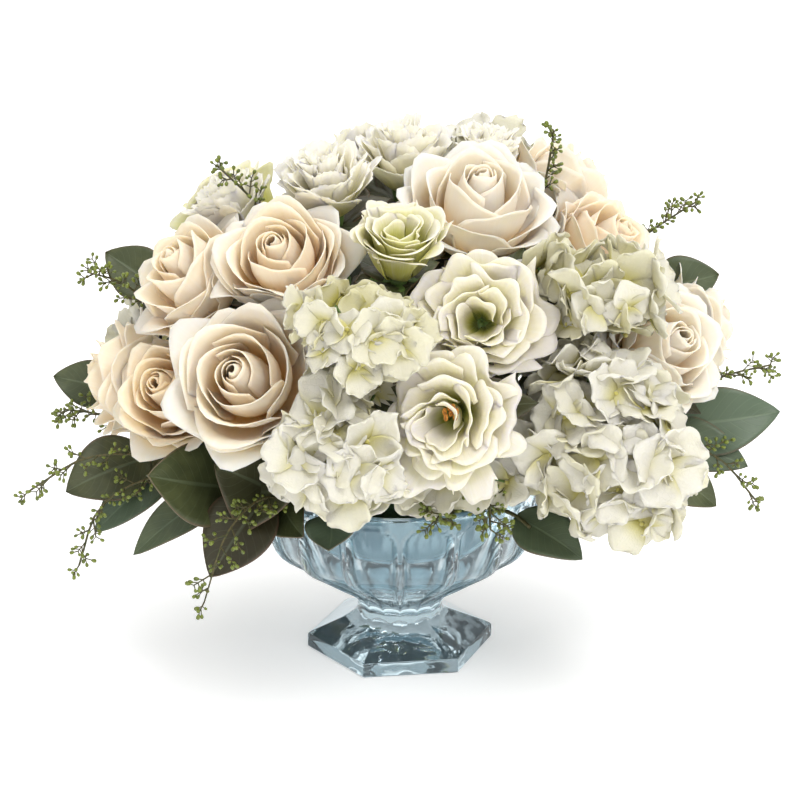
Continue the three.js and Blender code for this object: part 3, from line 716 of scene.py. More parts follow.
def stem_foot(first, aim_height):
    """A stem's foot in the foam: its cut end, and its first place outside."""
    inwards = (Vector((0, 0, aim_height)) - first).normalized()
    level = math.hypot(inwards.x, inwards.y)
    to_side = (math.hypot(first.x, first.y) - FOAM_RADIUS) / level
    to_top = (first.z - FOAM_TOP) / -inwards.z
    entry = max(to_side, to_top)
    return first + inwards * (entry + STEM_DEPTH), first + inwards * (entry - ELBOW)


def stem_row(places):
    """The cut end of a eucalyptus stem, and its line from the foam to its tip."""
    points = [place(*p) for p in places]
    aim = TRAILING_AIM_HEIGHT if points[0].z < TRAILING_BELOW else STEM_AIM_HEIGHT
    cut_end, outside = stem_foot(points[0], aim)
    return cut_end, smooth_row([outside, *points], len(points) + 1)


def stem_run(cut_end, row, steps, thick, thin):
    """A eucalyptus stem as one run of points and radii, from thick at its cut end to thin at its tip."""
    line = [cut_end, *smooth_row(row, steps)]
    return line, [lerp(thick, thin, k / steps / (1 + 1 / steps)) for k in range(len(line))]


# Flower heads


def head_matrix(centre, face_around, face_up, radius):
    """A head's own frame: Z is where the flower faces, and 1 is the head's radius."""
    facing = direction(face_around, face_up)
    level = Vector((0, 0, 1)).cross(facing).normalized()
    upwards = facing.cross(level)
    matrix = Matrix((level * radius, upwards * radius, facing * radius)).transposed().to_4x4()
    matrix.translation = centre
    return matrix


def moved(points, matrix):
    """Points taken through a matrix."""
    matrix = np.array(matrix)
    return points @ matrix[:3, :3].T + matrix[:3, 3]


class Room:
    """The room that a head takes: an egg round it. A later head's petals are pressed back out of it."""

    # How far out the press reaches, against the egg's skin, and how far behind a head things are hidden
    REACH = 1.25
    HIDDEN_BEHIND = -0.75

    def __init__(self, matrix, out, low, high):
        self.matrix = np.array(matrix)
        self.inverse = np.array(matrix.inverted())
        self.middle = np.array([0, 0, (low + high) / 2])
        self.half = np.array([out, out, (high - low) / 2])

    def hides(self, point, reach):
        """Whether a point lies under, in or before the head, as seen from where it faces."""
        local = self.inverse[:3, :3] @ np.array(point) + self.inverse[:3, 3]
        return math.hypot(local[0], local[1]) < reach and local[2] > self.HIDDEN_BEHIND

    def press(self, points):
        """Points inside move out to the skin, in the order in which they lay."""
        offset = (moved(points, self.inverse) - self.middle) / self.half
        far = np.linalg.norm(offset, axis=1)
        near = far < self.REACH
        pressed = 1 + (self.REACH - 1) * far / self.REACH
        factor = np.where(near, pressed / np.maximum(far, 1e-3), 1.0)
        out = moved(self.middle + offset * factor[:, None] * self.half, self.matrix)
        return np.where(near[:, None], out, points)


def press_out(points, rooms):
    """Points pressed out of each room in turn."""
    for room in rooms:
        points = room.press(points)
    return points


def head_place(row):
    """The name, matrix and radius of a flower."""
    name, around, up, reach, radius, face_around, face_up = row
    return name, head_matrix(direction(around, up) * reach + HEART, face_around, face_up, radius), radius


# The room of a head, in its own frame: how far out it reaches, how low and how high
ROOM = (1.0, -0.8, 0.6)
HYDRANGEA_ROOM = (0.98, -0.8, 0.95)


def near_rooms(index):
    """The rooms of the heads that stand before a head and that it can touch."""
    _, matrix, radius = head_place(FLOWERS[index])
    rooms = []
    for row in FLOWERS[:index]:
        name, other, _ = head_place(row)
        if (other.translation - matrix.translation).length < 2.6 * radius + 20:
            rooms.append(Room(other, *(HYDRANGEA_ROOM if name.startswith("hydrangea") else ROOM)))
    return rooms


def flowers(kind):
    """The flowers of a kind: each one's name, matrix, radius, the rooms near it, and its random numbers."""
    for index, row in enumerate(FLOWERS):
        if row[0].startswith(kind):
            yield (*head_place(row), near_rooms(index), np.random.default_rng(SEEDS[kind] + index))


def bezier(points, t):
    """A cubic curve through the space of four control points, for an array of shares."""
    p0, p1, p2, p3 = (np.array(p)[None, :] for p in points)
    t = t[:, None]
    s = 1 - t
    return s ** 3 * p0 + 3 * s * s * t * p1 + 3 * s * t * t * p2 + t ** 3 * p3


def turned(flat, around):
    """Places of radius and height, each turned around to its angle."""
    return np.column_stack([flat[:, 0] * np.sin(around), -flat[:, 0] * np.cos(around), flat[:, 1]])


# A petal: its width at its foot against its full width, how far up it is fully wide, where across it the
# edges start to curl, and how wide its crease is
PETAL_FOOT = 0.42
PETAL_FULL = 0.65
PETAL_EDGE = 0.6
PETAL_CREASE = 0.3


def petal_sheet(blank, profile, turn, half_angle, blunt=(0.1, 2.5), tip=0.0, roll=(0.3, 0.6), roll_from=0.8,
                lap=0.04, side_curl=0.0, waves=(0.0, 5, 0.0), tilt=0.0, fold=0.0, frill=(0.0, 14)):
    """A petal bent from its blank, in the head's frame.

    profile is its section from foot to lip, as four places of radius and height. Its sides end short of
    its middle by blunt (how much, and how sharply), and its middle is drawn to a tip. Past roll_from the
    lip rolls back, by the first of roll at the middle and by the second at the corners, in radians. One
    side laps over the next petal by lap, its side edges curl out, waves are (height, how many, phase), tilt
    raises one side, fold pulls the middle inwards along a crease, and frill is (height, how many) small
    waves at the lip.
    """
    u, v = blank.u, blank.v
    side = np.abs(u)
    reach = v * (1 - blunt[0] * side ** blunt[1]) + tip * (1 - side) ** 2 * v ** 5
    kept = np.minimum(reach, roll_from)
    flat = bezier(profile, kept)
    tangent = bezier(profile, kept + 0.01) - flat
    tangent /= np.linalg.norm(tangent, axis=1)[:, None]
    outwards = np.column_stack([tangent[:, 1], -tangent[:, 0]])
    length = np.linalg.norm(np.array(profile[3]) - np.array(profile[2])) + 0.35
    beyond = np.maximum(reach - roll_from, 0)
    share = beyond / (1.001 - roll_from)
    angle = np.maximum((roll[0] + (roll[1] - roll[0]) * side ** 1.4) * share, 1e-4)
    flat = flat + tangent * (beyond * length * np.sin(angle) / angle)[:, None]
    flat = flat + outwards * (beyond * length * (1 - np.cos(angle)) / angle)[:, None]
    width = half_angle * lerp(PETAL_FOOT, 1, np.sin(slope(v, 0, PETAL_FULL) * math.pi / 2))
    edge = slope(side, PETAL_EDGE, 1) ** 2 * v
    around = turn + u * width * (1 - 0.1 * edge * (side_curl > 0))
    ruffle = waves[0] * np.sin(waves[1] * u + waves[2]) * v ** 4
    ruffle = ruffle + frill[0] * np.sin(frill[1] * u + 3 * waves[2]) * v ** 6
    radius = flat[:, 0] + lap * u * (0.3 + 0.7 * v) + side_curl * edge + ruffle
    radius = radius - fold * bell(u, 0, PETAL_CREASE) * v ** 2
    height = flat[:, 1] + ruffle * 0.5 + tilt * u * v - side_curl * edge * 0.5
    return turned(np.column_stack([radius, height]), around)


def bloom(flower, shapes, blank, thickness, material):
    """Petals gathered into one piece, pressed out of the rooms, and given their thickness."""
    name, matrix, _, rooms, _ = flower
    petals = Copies()
    for points, tint in shapes:
        petals.add(blank, press_out(moved(points, matrix), rooms), tint)
    return petals.sheet(name + "_bloom", material, thickness)


def flower_stem(name, neck, radius, material):
    """A flower's stem, from its cut end in the foam up to its head, a little bent."""
    cut_end, outside = stem_foot(neck, STEM_AIM_HEIGHT)
    row = smooth_row([cut_end, outside, lerp(outside, neck, 0.5), neck], 10)
    return tubes(name + "_stem", [(row, [radius] * len(row))], material)


# The leaves under a head: how many, and the height below which none hangs, so that the bowl shows
COLLAR_LEAVES = 12
COLLAR_LOWEST = 132


def collar_leaves(flower, material):
    """Dark leaves on the stem under a head, in two whorls, which close the gaps to its neighbours and, with
    their older, darker colours, stand in for the shade deep in those gaps.
    """
    name, matrix, radius, rooms, rng = flower
    blank = flat_blank(4, 7)
    leaves = Copies()
    facing = (matrix.to_3x3() @ Vector((0, 0, 1))).normalized()
    for k in range(COLLAR_LEAVES):
        low = k % 2
        turn = math.radians(k * 360 / COLLAR_LEAVES + rng.uniform(-14, 14))
        reach = rng.uniform(1.1, 1.4) if low else rng.uniform(0.85, 1.1)
        base = matrix @ Vector((0, 0, -1.4 if low else -0.9))
        tip = matrix @ Vector((reach * math.sin(turn), -reach * math.cos(turn), -0.8 if low else -0.6))
        points = leaf_points(blank, base, tip, radius * 0.66, facing, rng)
        if tip.z >= COLLAR_LOWEST:
            # The older, darker leaf colours paint the shade in the gaps
            leaves.add(blank, press_out(points, rooms), rng.uniform(0.6, 1))
    return leaves.sheet(name + "_collar", material, 0.5 * MM)


def greens(context):
    """The materials of a flower's stem and of a leaf."""
    settings = context.scene.eucalyptus_settings
    return stem_material(settings), eucalyptus_leaf_material(settings)


def under_head(flower, stem_radius, materials):
    """What a flower has under its head: its stem and its collar of leaves."""
    green, leaf = materials
    name, matrix, *_ = flower
    return [flower_stem(name, matrix @ NECK, stem_radius, green), collar_leaves(flower, leaf)]


def cup(name, matrix, radius, section, material):
    """The green cup of a head, from its section: heights and widths in the head's own frame."""
    row = [matrix @ Vector((0, 0, height)) for height, _ in section]
    return tubes(name + "_cup", [(row, [width * radius for _, width in section])], material)


# The sections of the cups, and the line of a sepal on them: how far out, and its height
CALYX_CUP = [(-0.94, 0.07), (-0.9, 0.12), (-0.86, 0.17), (-0.8, 0.19), (-0.74, 0.14)]
CARNATION_CUP = [(-0.95, 0.08), (-0.8, 0.16), (-0.6, 0.2), (-0.3, 0.24)]
CALYX_LINE = [(0.06, -0.8), (0.22, -0.84), (0.36, -0.74), (0.56, -0.66)]


def calyx(name, matrix, radius, material):
    """The green cup under a head, and its five narrow sepals."""
    leaf = flat_blank(3, 8)
    u, v = leaf.u, leaf.v
    flat = bezier(CALYX_LINE, v)
    sepals = Copies()
    for k in range(5):
        around = math.radians(k * 72) + u * 0.55 * (1 - v) ** 0.7 * (0.2 + v)
        sepals.add(leaf, moved(turned(flat, around), matrix))
    piece = sepals.piece(name + "_sepals", material)
    thicken(piece, 0.6 * MM)
    return join([piece, cup(name, matrix, radius, CALYX_CUP, material)], name + "_calyx")


# Faces across and along a petal: finer at the front than at the back
ROSE_FACES = (11, 11)
CARNATION_FACES = (19, 5)
LISIANTHUS_FINE = (22, 11)
LISIANTHUS_PLAIN = (14, 10)
SEPAL_FINE = (10, 6)
SEPAL_PLAIN = (6, 6)
# Radii of the flower stems
ROSE_STEM = 2.444
CARNATION_STEM = 1.786
LISIANTHUS_STEM = 1.692
HYDRANGEA_STEM = 2.82
# Roses that are more peach than the others, or paler: partly their own tone, partly painted shade, a darker
# peach on roses that lie in shade
ROSE_TONE_AND_SHADE = {
    "rose_2": 0.3, "rose_3": 0.3, "rose_4": 0.8, "rose_5": 0.5,
    "rose_6": -0.5, "rose_8": 0.4, "rose_9": -0.5,
}
# Rings of rose petals from the heart outwards: how many, how far the lip opens, its height, and half its
# width in degrees
ROSE_RINGS = [
    (1, 0.01, 0.57, 172),
    (2, 0.08, 0.55, 140),
    (2, 0.19, 0.56, 110),
    (3, 0.38, 0.56, 84),
    (3, 0.58, 0.48, 72),
    (4, 0.76, 0.34, 60),
    (5, 0.94, 0.16, 50),
    (5, 1.14, -0.08, 44),
]


def rose_petals(blank, rng, tone_and_shade):
    """The petals of a rose, from its tight heart to the pointed, folded back ones. tone_and_shade adds
    peach: the rose's own tone, and painted shade.
    """
    start = rng.uniform(0, 360)
    for count, opening, lip_height, half in ROSE_RINGS:
        start += 360 / count * 0.5 + rng.uniform(-20, 20)
        for k in range(count):
            loose = 0.3 + 0.7 * min(1, opening * 1.4)
            o = opening * (1 + rng.uniform(-0.1, 0.1) * loose)
            turn = math.radians(start + k * 360 / count + rng.uniform(-18, 18))
            lip = lip_height + rng.uniform(-0.05, 0.05) * loose
            profile = [
                (0.08, -0.66 - 0.08 * o),
                (0.34 + 0.6 * o, -0.6 - 0.08 * o),
                (min(0.2 + 0.9 * o, 0.86), lerp(0.08, -0.08, o)),
                (o, lip),
            ]
            # The tint is higher on the inner petals, for the painted glow deep in the heart, and
            # tone_and_shade adds to it
            yield petal_sheet(
                blank, profile, turn, math.radians(half) * rng.uniform(0.92, 1.08),
                blunt=(lerp(0.06, 0.6, min(o, 1)), 1.05), tip=lerp(0.02, 0.2, o),
                roll=(lerp(0.0, 0.7, o), lerp(0.0, 3.0, min(o, 1)) * rng.uniform(0.8, 1.2)),
                roll_from=lerp(0.86, 0.58, min(o, 1)), lap=lerp(0.02, 0.06, min(o / 0.2, 1)),
                side_curl=lerp(0.0, 0.12, o),
                waves=(lerp(0.0, 0.012, o), rng.uniform(3, 6), rng.uniform(0, 6)),
                tilt=rng.uniform(-0.13, 0.13) * loose), max(0, 1 - o) + tone_and_shade


# Rings of carnation petals from the middle outwards: how many, how far the edge opens, and its height
CARNATION_RINGS = [
    (4, 0.10, 0.62),
    (5, 0.28, 0.65),
    (6, 0.50, 0.58),
    (7, 0.74, 0.42),
    (8, 0.97, 0.14),
]


def carnation_petals(blank, rng):
    """The petals of a carnation: fans with toothed, ruffled edges, packed in a dome."""
    teeth = ((np.arange(len(blank.u)) % 2) * 2 - 1) * (blank.v > 0.99)
    for count, opening, edge_height in CARNATION_RINGS:
        start = rng.uniform(0, 360)
        for k in range(count):
            o = opening * rng.uniform(0.82, 1.1)
            turn = math.radians(start + k * 360 / count + rng.uniform(-10, 10))
            profile = [
                (0.05, -0.66),
                (lerp(0.1, 0.4, o), lerp(-0.3, -0.55, o)),
                (lerp(0.1, 0.72, o), lerp(0.2, 0.0, o)),
                (o, edge_height + rng.uniform(-0.1, 0.1)),
            ]
            waves = (rng.uniform(0.07, 0.16), rng.uniform(3, 5.5), rng.uniform(0, 6))
            points = petal_sheet(
                blank, profile, turn, math.radians(lerp(80, 34, o) * rng.uniform(0.9, 1.15)),
                blunt=(0.3, 3.0), roll=(0.2, lerp(0.4, 0.9, o)), lap=0.04, waves=waves,
                tilt=rng.uniform(-0.12, 0.12), fold=rng.uniform(0.0, 0.12),
                frill=(0.02, rng.uniform(12, 16)))
            points = points * (1 + 0.012 * teeth[:, None])
            points[:, 2] += 0.012 * teeth
            yield points, 1 - o


# How far an open lisianthus's throat lies off its middle
THROAT_SHIFT = np.array([-0.25, -0.3, 0])
# Rings of lisianthus petals from the throat outwards: how many, how far the lip opens, its height, and half
# its width in degrees
LISIANTHUS_RINGS = [
    (3, 0.26, 0.30, 74),
    (4, 0.43, 0.38, 64),
    (5, 0.64, 0.35, 58),
    (6, 0.85, 0.22, 52),
    (6, 1.06, 0.02, 48),
]
LISIANTHUS_CUP_RINGS = [
    (2, 0.12, 0.60, 110),
    (3, 0.28, 0.70, 80),
    (4, 0.46, 0.76, 66),
    (5, 0.64, 0.76, 56),
    (5, 0.80, 0.68, 52),
]


def lisianthus_petals(blank, rng, cupped, drooping):
    """The petals of a lisianthus: thin and wavy round an open throat, or closed in a greenish cup."""
    petals = []
    for count, opening, lip_height, half in LISIANTHUS_CUP_RINGS if cupped else LISIANTHUS_RINGS:
        start = rng.uniform(0, 360)
        petals += [(start + k * 360 / count + rng.uniform(-14, 14), opening * rng.uniform(0.88, 1.06),
                    lip_height + rng.uniform(-0.07, 0.07), half) for k in range(count)]
    petals += [(turn, 1.45, -0.3, 26) for turn in drooping]
    for turn, o, lip_height, half in petals:
        profile = [
            (0.06, -0.76),
            (lerp(0.14, 0.62, o), lerp(-0.5, -0.68, o)),
            (lerp(0.14, 0.74, o) + 0.15 * cupped, lerp(0.1, -0.12, o) + 0.2 * cupped),
            (o, lip_height),
        ]
        waves = (rng.uniform(0.04, 0.12) * (0.4 + o), rng.uniform(2.5, 6), rng.uniform(0, 6))
        sheet = petal_sheet(
            blank, profile, math.radians(turn), math.radians(half) * rng.uniform(0.85, 1.1),
            blunt=(rng.uniform(0.06, 0.2), 2.4),
            roll=(lerp(0.3, 0.9, o) * rng.uniform(0.4, 1.6), lerp(0.5, 1.4, o) * rng.uniform(0.5, 1.5)),
            roll_from=0.62, lap=0.05, side_curl=0.03, waves=waves, tilt=rng.uniform(-0.16, 0.16),
            fold=rng.uniform(-0.03, 0.06), frill=(rng.uniform(0.01, 0.03) * (0.4 + o), rng.uniform(8, 12))
        )
        if not cupped:
            sheet += THROAT_SHIFT * max(0, 1 - o) * slope(sheet[:, 2:], -0.76, 0.14)
        yield sheet, 1.4 if cupped else rng.uniform(0.0, 0.15)


# Stamens in a throat, the radii of a filament from its root to its tip, and half the sizes of an anther
STAMENS = 7
FILAMENT = (0.5, 0.45, 0.4)
ANTHER = np.array([1.3, 1.3, 2.2])


def stamens(name, matrix, filament, anther, rng):
    """Stamens round a short pistil, in an open throat."""
    tips = Copies()
    pod = round_blank(2)
    runs = []
    for k in range(STAMENS):
        around = math.radians(k * 360 / STAMENS + rng.uniform(-12, 12))
        out = 0.09 if k else 0.0
        outwards = Vector((out * math.sin(around), -out * math.cos(around), 0))
        tip = matrix @ (outwards + Vector((0, 0, 0.02 + rng.uniform(-0.05, 0.05))))
        root = matrix @ (outwards * 0.3 + Vector((0, 0, -0.6)))
        runs.append(([root, lerp(root, tip, 0.6), tip], FILAMENT))
        tips.add(pod, np.array(tip) + pod.points * ANTHER)
    return [tubes(name + "_filaments", runs, filament, sides=1), tips.piece(name + "_anthers", anther)]


class CENTREPIECE_OT_roses(bpy.types.Operator):
    """Model the roses, petal by petal, on their stems"""

    bl_idname = "centrepiece.roses"
    bl_label = "Roses"

    def execute(self, context):
        settings = context.scene.rose_settings
        petal, materials = rose_petal_material(settings), greens(context)
        blank = flat_blank(*ROSE_FACES)
        for flower in flowers("rose"):
            name, matrix, radius, _, rng = flower
            shapes = rose_petals(blank, rng, ROSE_TONE_AND_SHADE.get(name, 0.0))
            parts = [bloom(flower, shapes, blank, settings.thickness, petal)]
            parts += under_head(flower, ROSE_STEM, materials)
            parts.append(calyx(name, matrix, radius, materials[0]))
            stand_for(join(parts, name + "_petals"), name)
        return {"FINISHED"}


class CENTREPIECE_OT_carnations(bpy.types.Operator):
    """Model the carnations with their ruffled, toothed petals"""

    bl_idname = "centrepiece.carnations"
    bl_label = "Carnations"

    def execute(self, context):
        settings = context.scene.carnation_settings
        petal, materials = carnation_petal_material(settings), greens(context)
        blank = flat_blank(*CARNATION_FACES)
        for flower in flowers("carnation"):
            name, matrix, radius, _, rng = flower
            parts = [bloom(flower, carnation_petals(blank, rng), blank, settings.thickness, petal)]
            parts += under_head(flower, CARNATION_STEM, materials)
            parts.append(cup(name, matrix, radius, CARNATION_CUP, materials[0]))
            stand_for(join(parts, name + "_petals"), name)
        return {"FINISHED"}


# The lisianthus that are closed, those whose stamens show, those at the back, and the turns of the guard
# petals that hang down, in degrees from the bottom
LISIANTHUS_CUPPED = ("lisianthus_3", "lisianthus_5")
LISIANTHUS_OPEN = ("lisianthus_2", "lisianthus_4")
LISIANTHUS_BACK = ("lisianthus_4", "lisianthus_5")
DROOPING = {"lisianthus_2": (-24, 16)}


class CENTREPIECE_OT_lisianthus(bpy.types.Operator):
    """Model the lisianthus, open or cupped, with their stamens"""

    bl_idname = "centrepiece.lisianthus"
    bl_label = "Lisianthus"

    def execute(self, context):
        settings = context.scene.lisianthus_settings
        petal, anther = lisianthus_petal_material(settings), anther_material(settings)
        materials = greens(context)
        fine, plain = flat_blank(*LISIANTHUS_FINE), flat_blank(*LISIANTHUS_PLAIN)
        for flower in flowers("lisianthus"):
            name, matrix, radius, _, rng = flower
            blank = plain if name in LISIANTHUS_BACK else fine
            shapes = lisianthus_petals(blank, rng, name in LISIANTHUS_CUPPED, DROOPING.get(name, ()))
            parts = [bloom(flower, shapes, blank, settings.thickness, petal)]
            parts += under_head(flower, LISIANTHUS_STEM, materials)
            parts.append(calyx(name, matrix, radius, materials[0]))
            if name in LISIANTHUS_OPEN:
                parts += stamens(name, matrix, materials[0], anther, rng)
            stand_for(join(parts, name + "_petals"), name)
        return {"FINISHED"}


def sepal(blank, length, cupping, rng):
    """One sepal, from its root at the origin along +Y, facing +Z: broad, round, cupped and toothed."""
    u, v = blank.u, blank.v
    width = np.sin(math.pi * np.clip(v * 0.8 + 0.05, 0, 1)) ** 0.7
    border = (np.abs(u) > 0.99) & (v > 0.25) | (v > 0.99)
    tooth = 1 + 0.038 * blank.odd * border
    x = u * width * length * 0.56 * tooth
    y = v * length * tooth * (1 - 0.26 * u ** 2 * v ** 2)
    z = length * (cupping * v ** 1.5 - rng.uniform(0.0, 0.3) * v ** 5)
    z = z + length * rng.uniform(-0.12, 0.3) * u ** 2 * width ** 2
    z = z + length * 0.045 * np.sin(rng.uniform(4, 7) * u + rng.uniform(0, 6)) * v ** 2
    z = z + length * rng.uniform(-0.15, 0.15) * u * v
    return np.column_stack([x, y, z])


# How much greener and darker a whole head is than the others: partly its own greening, partly painted shade
GREENER_AND_SHADED = {"hydrangea_1": 0.35, "hydrangea_3": 0.15}
# For each head: its florets' size against the usual, how close they stand, their lowest and highest places,
# the head's width against its height, and single florets that hang lower
HYDRANGEA_HEADS = {
    "hydrangea_1": (0.85, 1.25, 0, 252, 1.0, []),
    "hydrangea_2": (1.0, 1.1, 157, 400, 1.0, [
        (2, 116, 150), (11, 121, 150), (20, 123, 150), (29, 123, 145), (-3, 108, 142), (8, 110, 142)]),
    "hydrangea_3": (1.08, 0.95, 0, 258, 1.0, []),
    "hydrangea_4": (1.08, 0.95, 132, 400, 0.68, []),
    "hydrangea_5": (1.0, 1.05, 0, 400, 1.0, []),
    "hydrangea_6": (1.0, 1.05, 0, 400, 1.0, []),
}


# The angle by which each floret turns on from the last, as seeds do in a sunflower
GOLDEN_ANGLE = 137.5
# The radii of a floret's stalk from its root to its floret, and of the bud in its middle
STALK = (1.1, 0.9, 0.7)
BUD = 1.7
# Two shells of florets: how far out each lies, how many it has against the outer one, and if it is deep
FLORET_SHELLS = ((0.86, 1, False), (0.64, 0.4, True))


def hydrangea_head(flower, sheet, settings, petal, green):
    """Florets of four sepals on thin stalks, all over a round head."""
    name, matrix, radius, rooms, rng = flower
    bud = round_blank(1)
    sepals, buds = Copies(), Copies()
    stalks = []
    growth, density, lowest, highest, width, hanging = HYDRANGEA_HEADS[name]
    size = settings.floret / MM * growth
    root = matrix @ Vector((0, 0, -0.45))
    places = []
    for share, many, deep in FLORET_SHELLS:
        count = int(radius * density * many)
        for k in range(count):
            height = 1 - (k + 0.4) / count * 1.5
            level = math.sqrt(max(0, 1 - height * height))
            around = math.radians(k * GOLDEN_ANGLE + rng.uniform(-10, 10))
            outwards = Vector((level * math.sin(around), -level * math.cos(around), height))
            middle = matrix @ (outwards * Vector((width, 1, 1)) * share * rng.uniform(0.95, 1.05))
            if deep and middle.z > highest:
                middle.z = lerp(highest, middle.z, -0.5)
            hidden = any(room.hides(middle, 1.12) for room in rooms)
            if lowest < middle.z < highest and not hidden:
                places.append((middle, outwards, deep))
    outwards = Vector((0, 0.2, 1))
    places += [(place(*spot), outwards, False) for spot in hanging]
    for middle, outwards, deep in places:
        tilt = Vector(rng.uniform(-0.5, 0.5, 3))
        facing = (matrix.to_3x3() @ (outwards + tilt)).normalized()
        turn = facing.to_track_quat("Z", "Y").to_matrix() @ Matrix.Rotation(rng.uniform(0, 6.3), 3, "Z")
        length = size * rng.uniform(0.75, 1.1)
        cupping = rng.uniform(0.05, 0.6)
        # Share of the yellow-green: the floret's own, at random, plus painted shade on the deep shell and on
        # the heads in GREENER_AND_SHADED
        green_share = max(0.0, rng.normal(0.15, 0.2)) + 0.5 * deep + GREENER_AND_SHADED.get(name, 0.0)
        for lobe in range(4):
            spread = math.radians(lobe * 90 + rng.uniform(-7, 7))
            raised = Matrix.Translation((0, 0, 0.5 if lobe % 2 else -0.3))
            spun = (turn @ Matrix.Rotation(spread, 3, "Z")).to_4x4()
            points = sepal(sheet, length * rng.uniform(0.9, 1.08), cupping, rng)
            points = moved(points, Matrix.Translation(middle) @ spun @ raised)
            sepals.add(sheet, press_out(points, rooms), green_share)
        buds.add(bud, np.array(middle + facing * 0.8) + bud.points * BUD, 1.0)
        knee = lerp(root, middle, 0.5) + (matrix.to_3x3() @ Vector((0, 0, 0.06)))
        stalks.append(([root, knee, middle], STALK))
    head = sepals.sheet(name + "_sepals", petal, settings.thickness)
    middles = buds.piece(name + "_buds", petal)
    smooth(middles)
    return [head, middles, tubes(name + "_stalks", stalks, green, sides=0)]


# The heads at the back, whose sepals are plainer
HYDRANGEA_BACK = ("hydrangea_5", "hydrangea_6")


class CENTREPIECE_OT_hydrangeas(bpy.types.Operator):
    """Model the hydrangea heads, floret by floret"""

    bl_idname = "centrepiece.hydrangeas"
    bl_label = "Hydrangeas"

    def execute(self, context):
        settings = context.scene.hydrangea_settings
        petal, materials = hydrangea_sepal_material(settings), greens(context)
        fine, plain = flat_blank(*SEPAL_FINE), flat_blank(*SEPAL_PLAIN)
        for flower in flowers("hydrangea"):
            name = flower[0]
            sheet = plain if name in HYDRANGEA_BACK else fine
            parts = hydrangea_head(flower, sheet, settings, petal, materials[0])
            parts += under_head(flower, HYDRANGEA_STEM, materials)
            stand_for(join(parts, name + "_florets"), name)
        return {"FINISHED"}


# Eucalyptus

# A leaf's shape: how far it bows against its length, how near its foot it is widest, how deep its fold is
# against its half width, and how wide its stalk is. All face up by the same angle.
LEAF_BOW = 0.1
LEAF_BELLY = 0.8
LEAF_FOLD = 0.2
LEAF_STALK = 0.12
LEAF_FACE_UP = 25
# Twigs along a sprig, how far along its line the first one grows, and where along a twig it forks
TWIGS = 15
TWIGS_FROM = 0.45
FORKS = (0.5, 0.78, 1.0)
# Radii from foot to tip of a leafy stem, a seeded one, a twig and a pod's stalk
LEAFY_STEM = (1.5, 1.0)
SEEDED_STEM = (1.1, 0.6)
TWIG = (0.55, 0.45, 0.4)
POD_STALK = (0.35, 0.3)


def leaf_points(blank, base, tip, width, towards, rng):
    """A leaf from its base to its tip, bowed along its length, folded at its midrib and a little wavy."""
    u, v = blank.u, blank.v
    along = tip - base
    length = along.length
    along = along.normalized()
    facing = (towards - along * towards.dot(along)).normalized()
    across = along.cross(facing)
    fullness = np.clip(np.sin(math.pi * v ** LEAF_BELLY), 0, 1) ** 0.8
    half = width / 2 * (LEAF_STALK * (1 - v ** 2) + (1 - LEAF_STALK) * fullness)
    lift = length * LEAF_BOW * np.sin(math.pi * v) - LEAF_FOLD * half * (1 - np.abs(u))
    lift = lift + width * 0.03 * np.sin(v * rng.uniform(7, 11) + rng.uniform(0, 6)) * np.abs(u)
    sideways = length * rng.uniform(-0.03, 0.03) * np.sin(math.pi * v)
    return (np.array(base) + np.outer(v * length, along) + np.outer(u * half + sideways, across)
            + np.outer(lift, facing))


class CENTREPIECE_OT_leaves(bpy.types.Operator):
    """Model the leafy stems of eucalyptus"""

    bl_idname = "centrepiece.leaves"
    bl_label = "Eucalyptus leaves"

    def execute(self, context):
        settings = context.scene.eucalyptus_settings
        skin, bark = eucalyptus_leaf_material(settings), twig_material(settings)
        blank = flat_blank(10, 20)
        for index, (name, face_around, places, leaves) in enumerate(LEAFY):
            rng = np.random.default_rng(SEEDS["leafy"] + index)
            cut_end, row = stem_row(places)
            towards = direction(face_around, LEAF_FACE_UP)
            blades = Copies()
            for at, around, out, height, width, age in leaves:
                tip = place(around, out, height)
                blades.add(blank, leaf_points(blank, catmull_rom(row, at), tip, width, towards, rng), age)
            piece = blades.sheet(name + "_blades", skin, settings.thickness)
            stem = tubes(name + "_stem", [stem_run(cut_end, row, 16, *LEAFY_STEM)], bark)
            stand_for(join([piece, stem], name + "_leaves"), name)
        return {"FINISHED"}


def pod_points(blank, base, along, size):
    """A seed pod: a small top, narrow at its stalk and wide at its blunt cap."""
    side = Vector((0.3, 0.2, 1)).cross(along).normalized()
    other = along.cross(side)
    p = blank.points
    taper = 1 + 0.3 * p[:, 2]
    local = np.column_stack([p[:, 0] * taper, p[:, 1] * taper, p[:, 2] * 1.5]) * size
    return np.array(base) + local @ np.array([side, other, along])


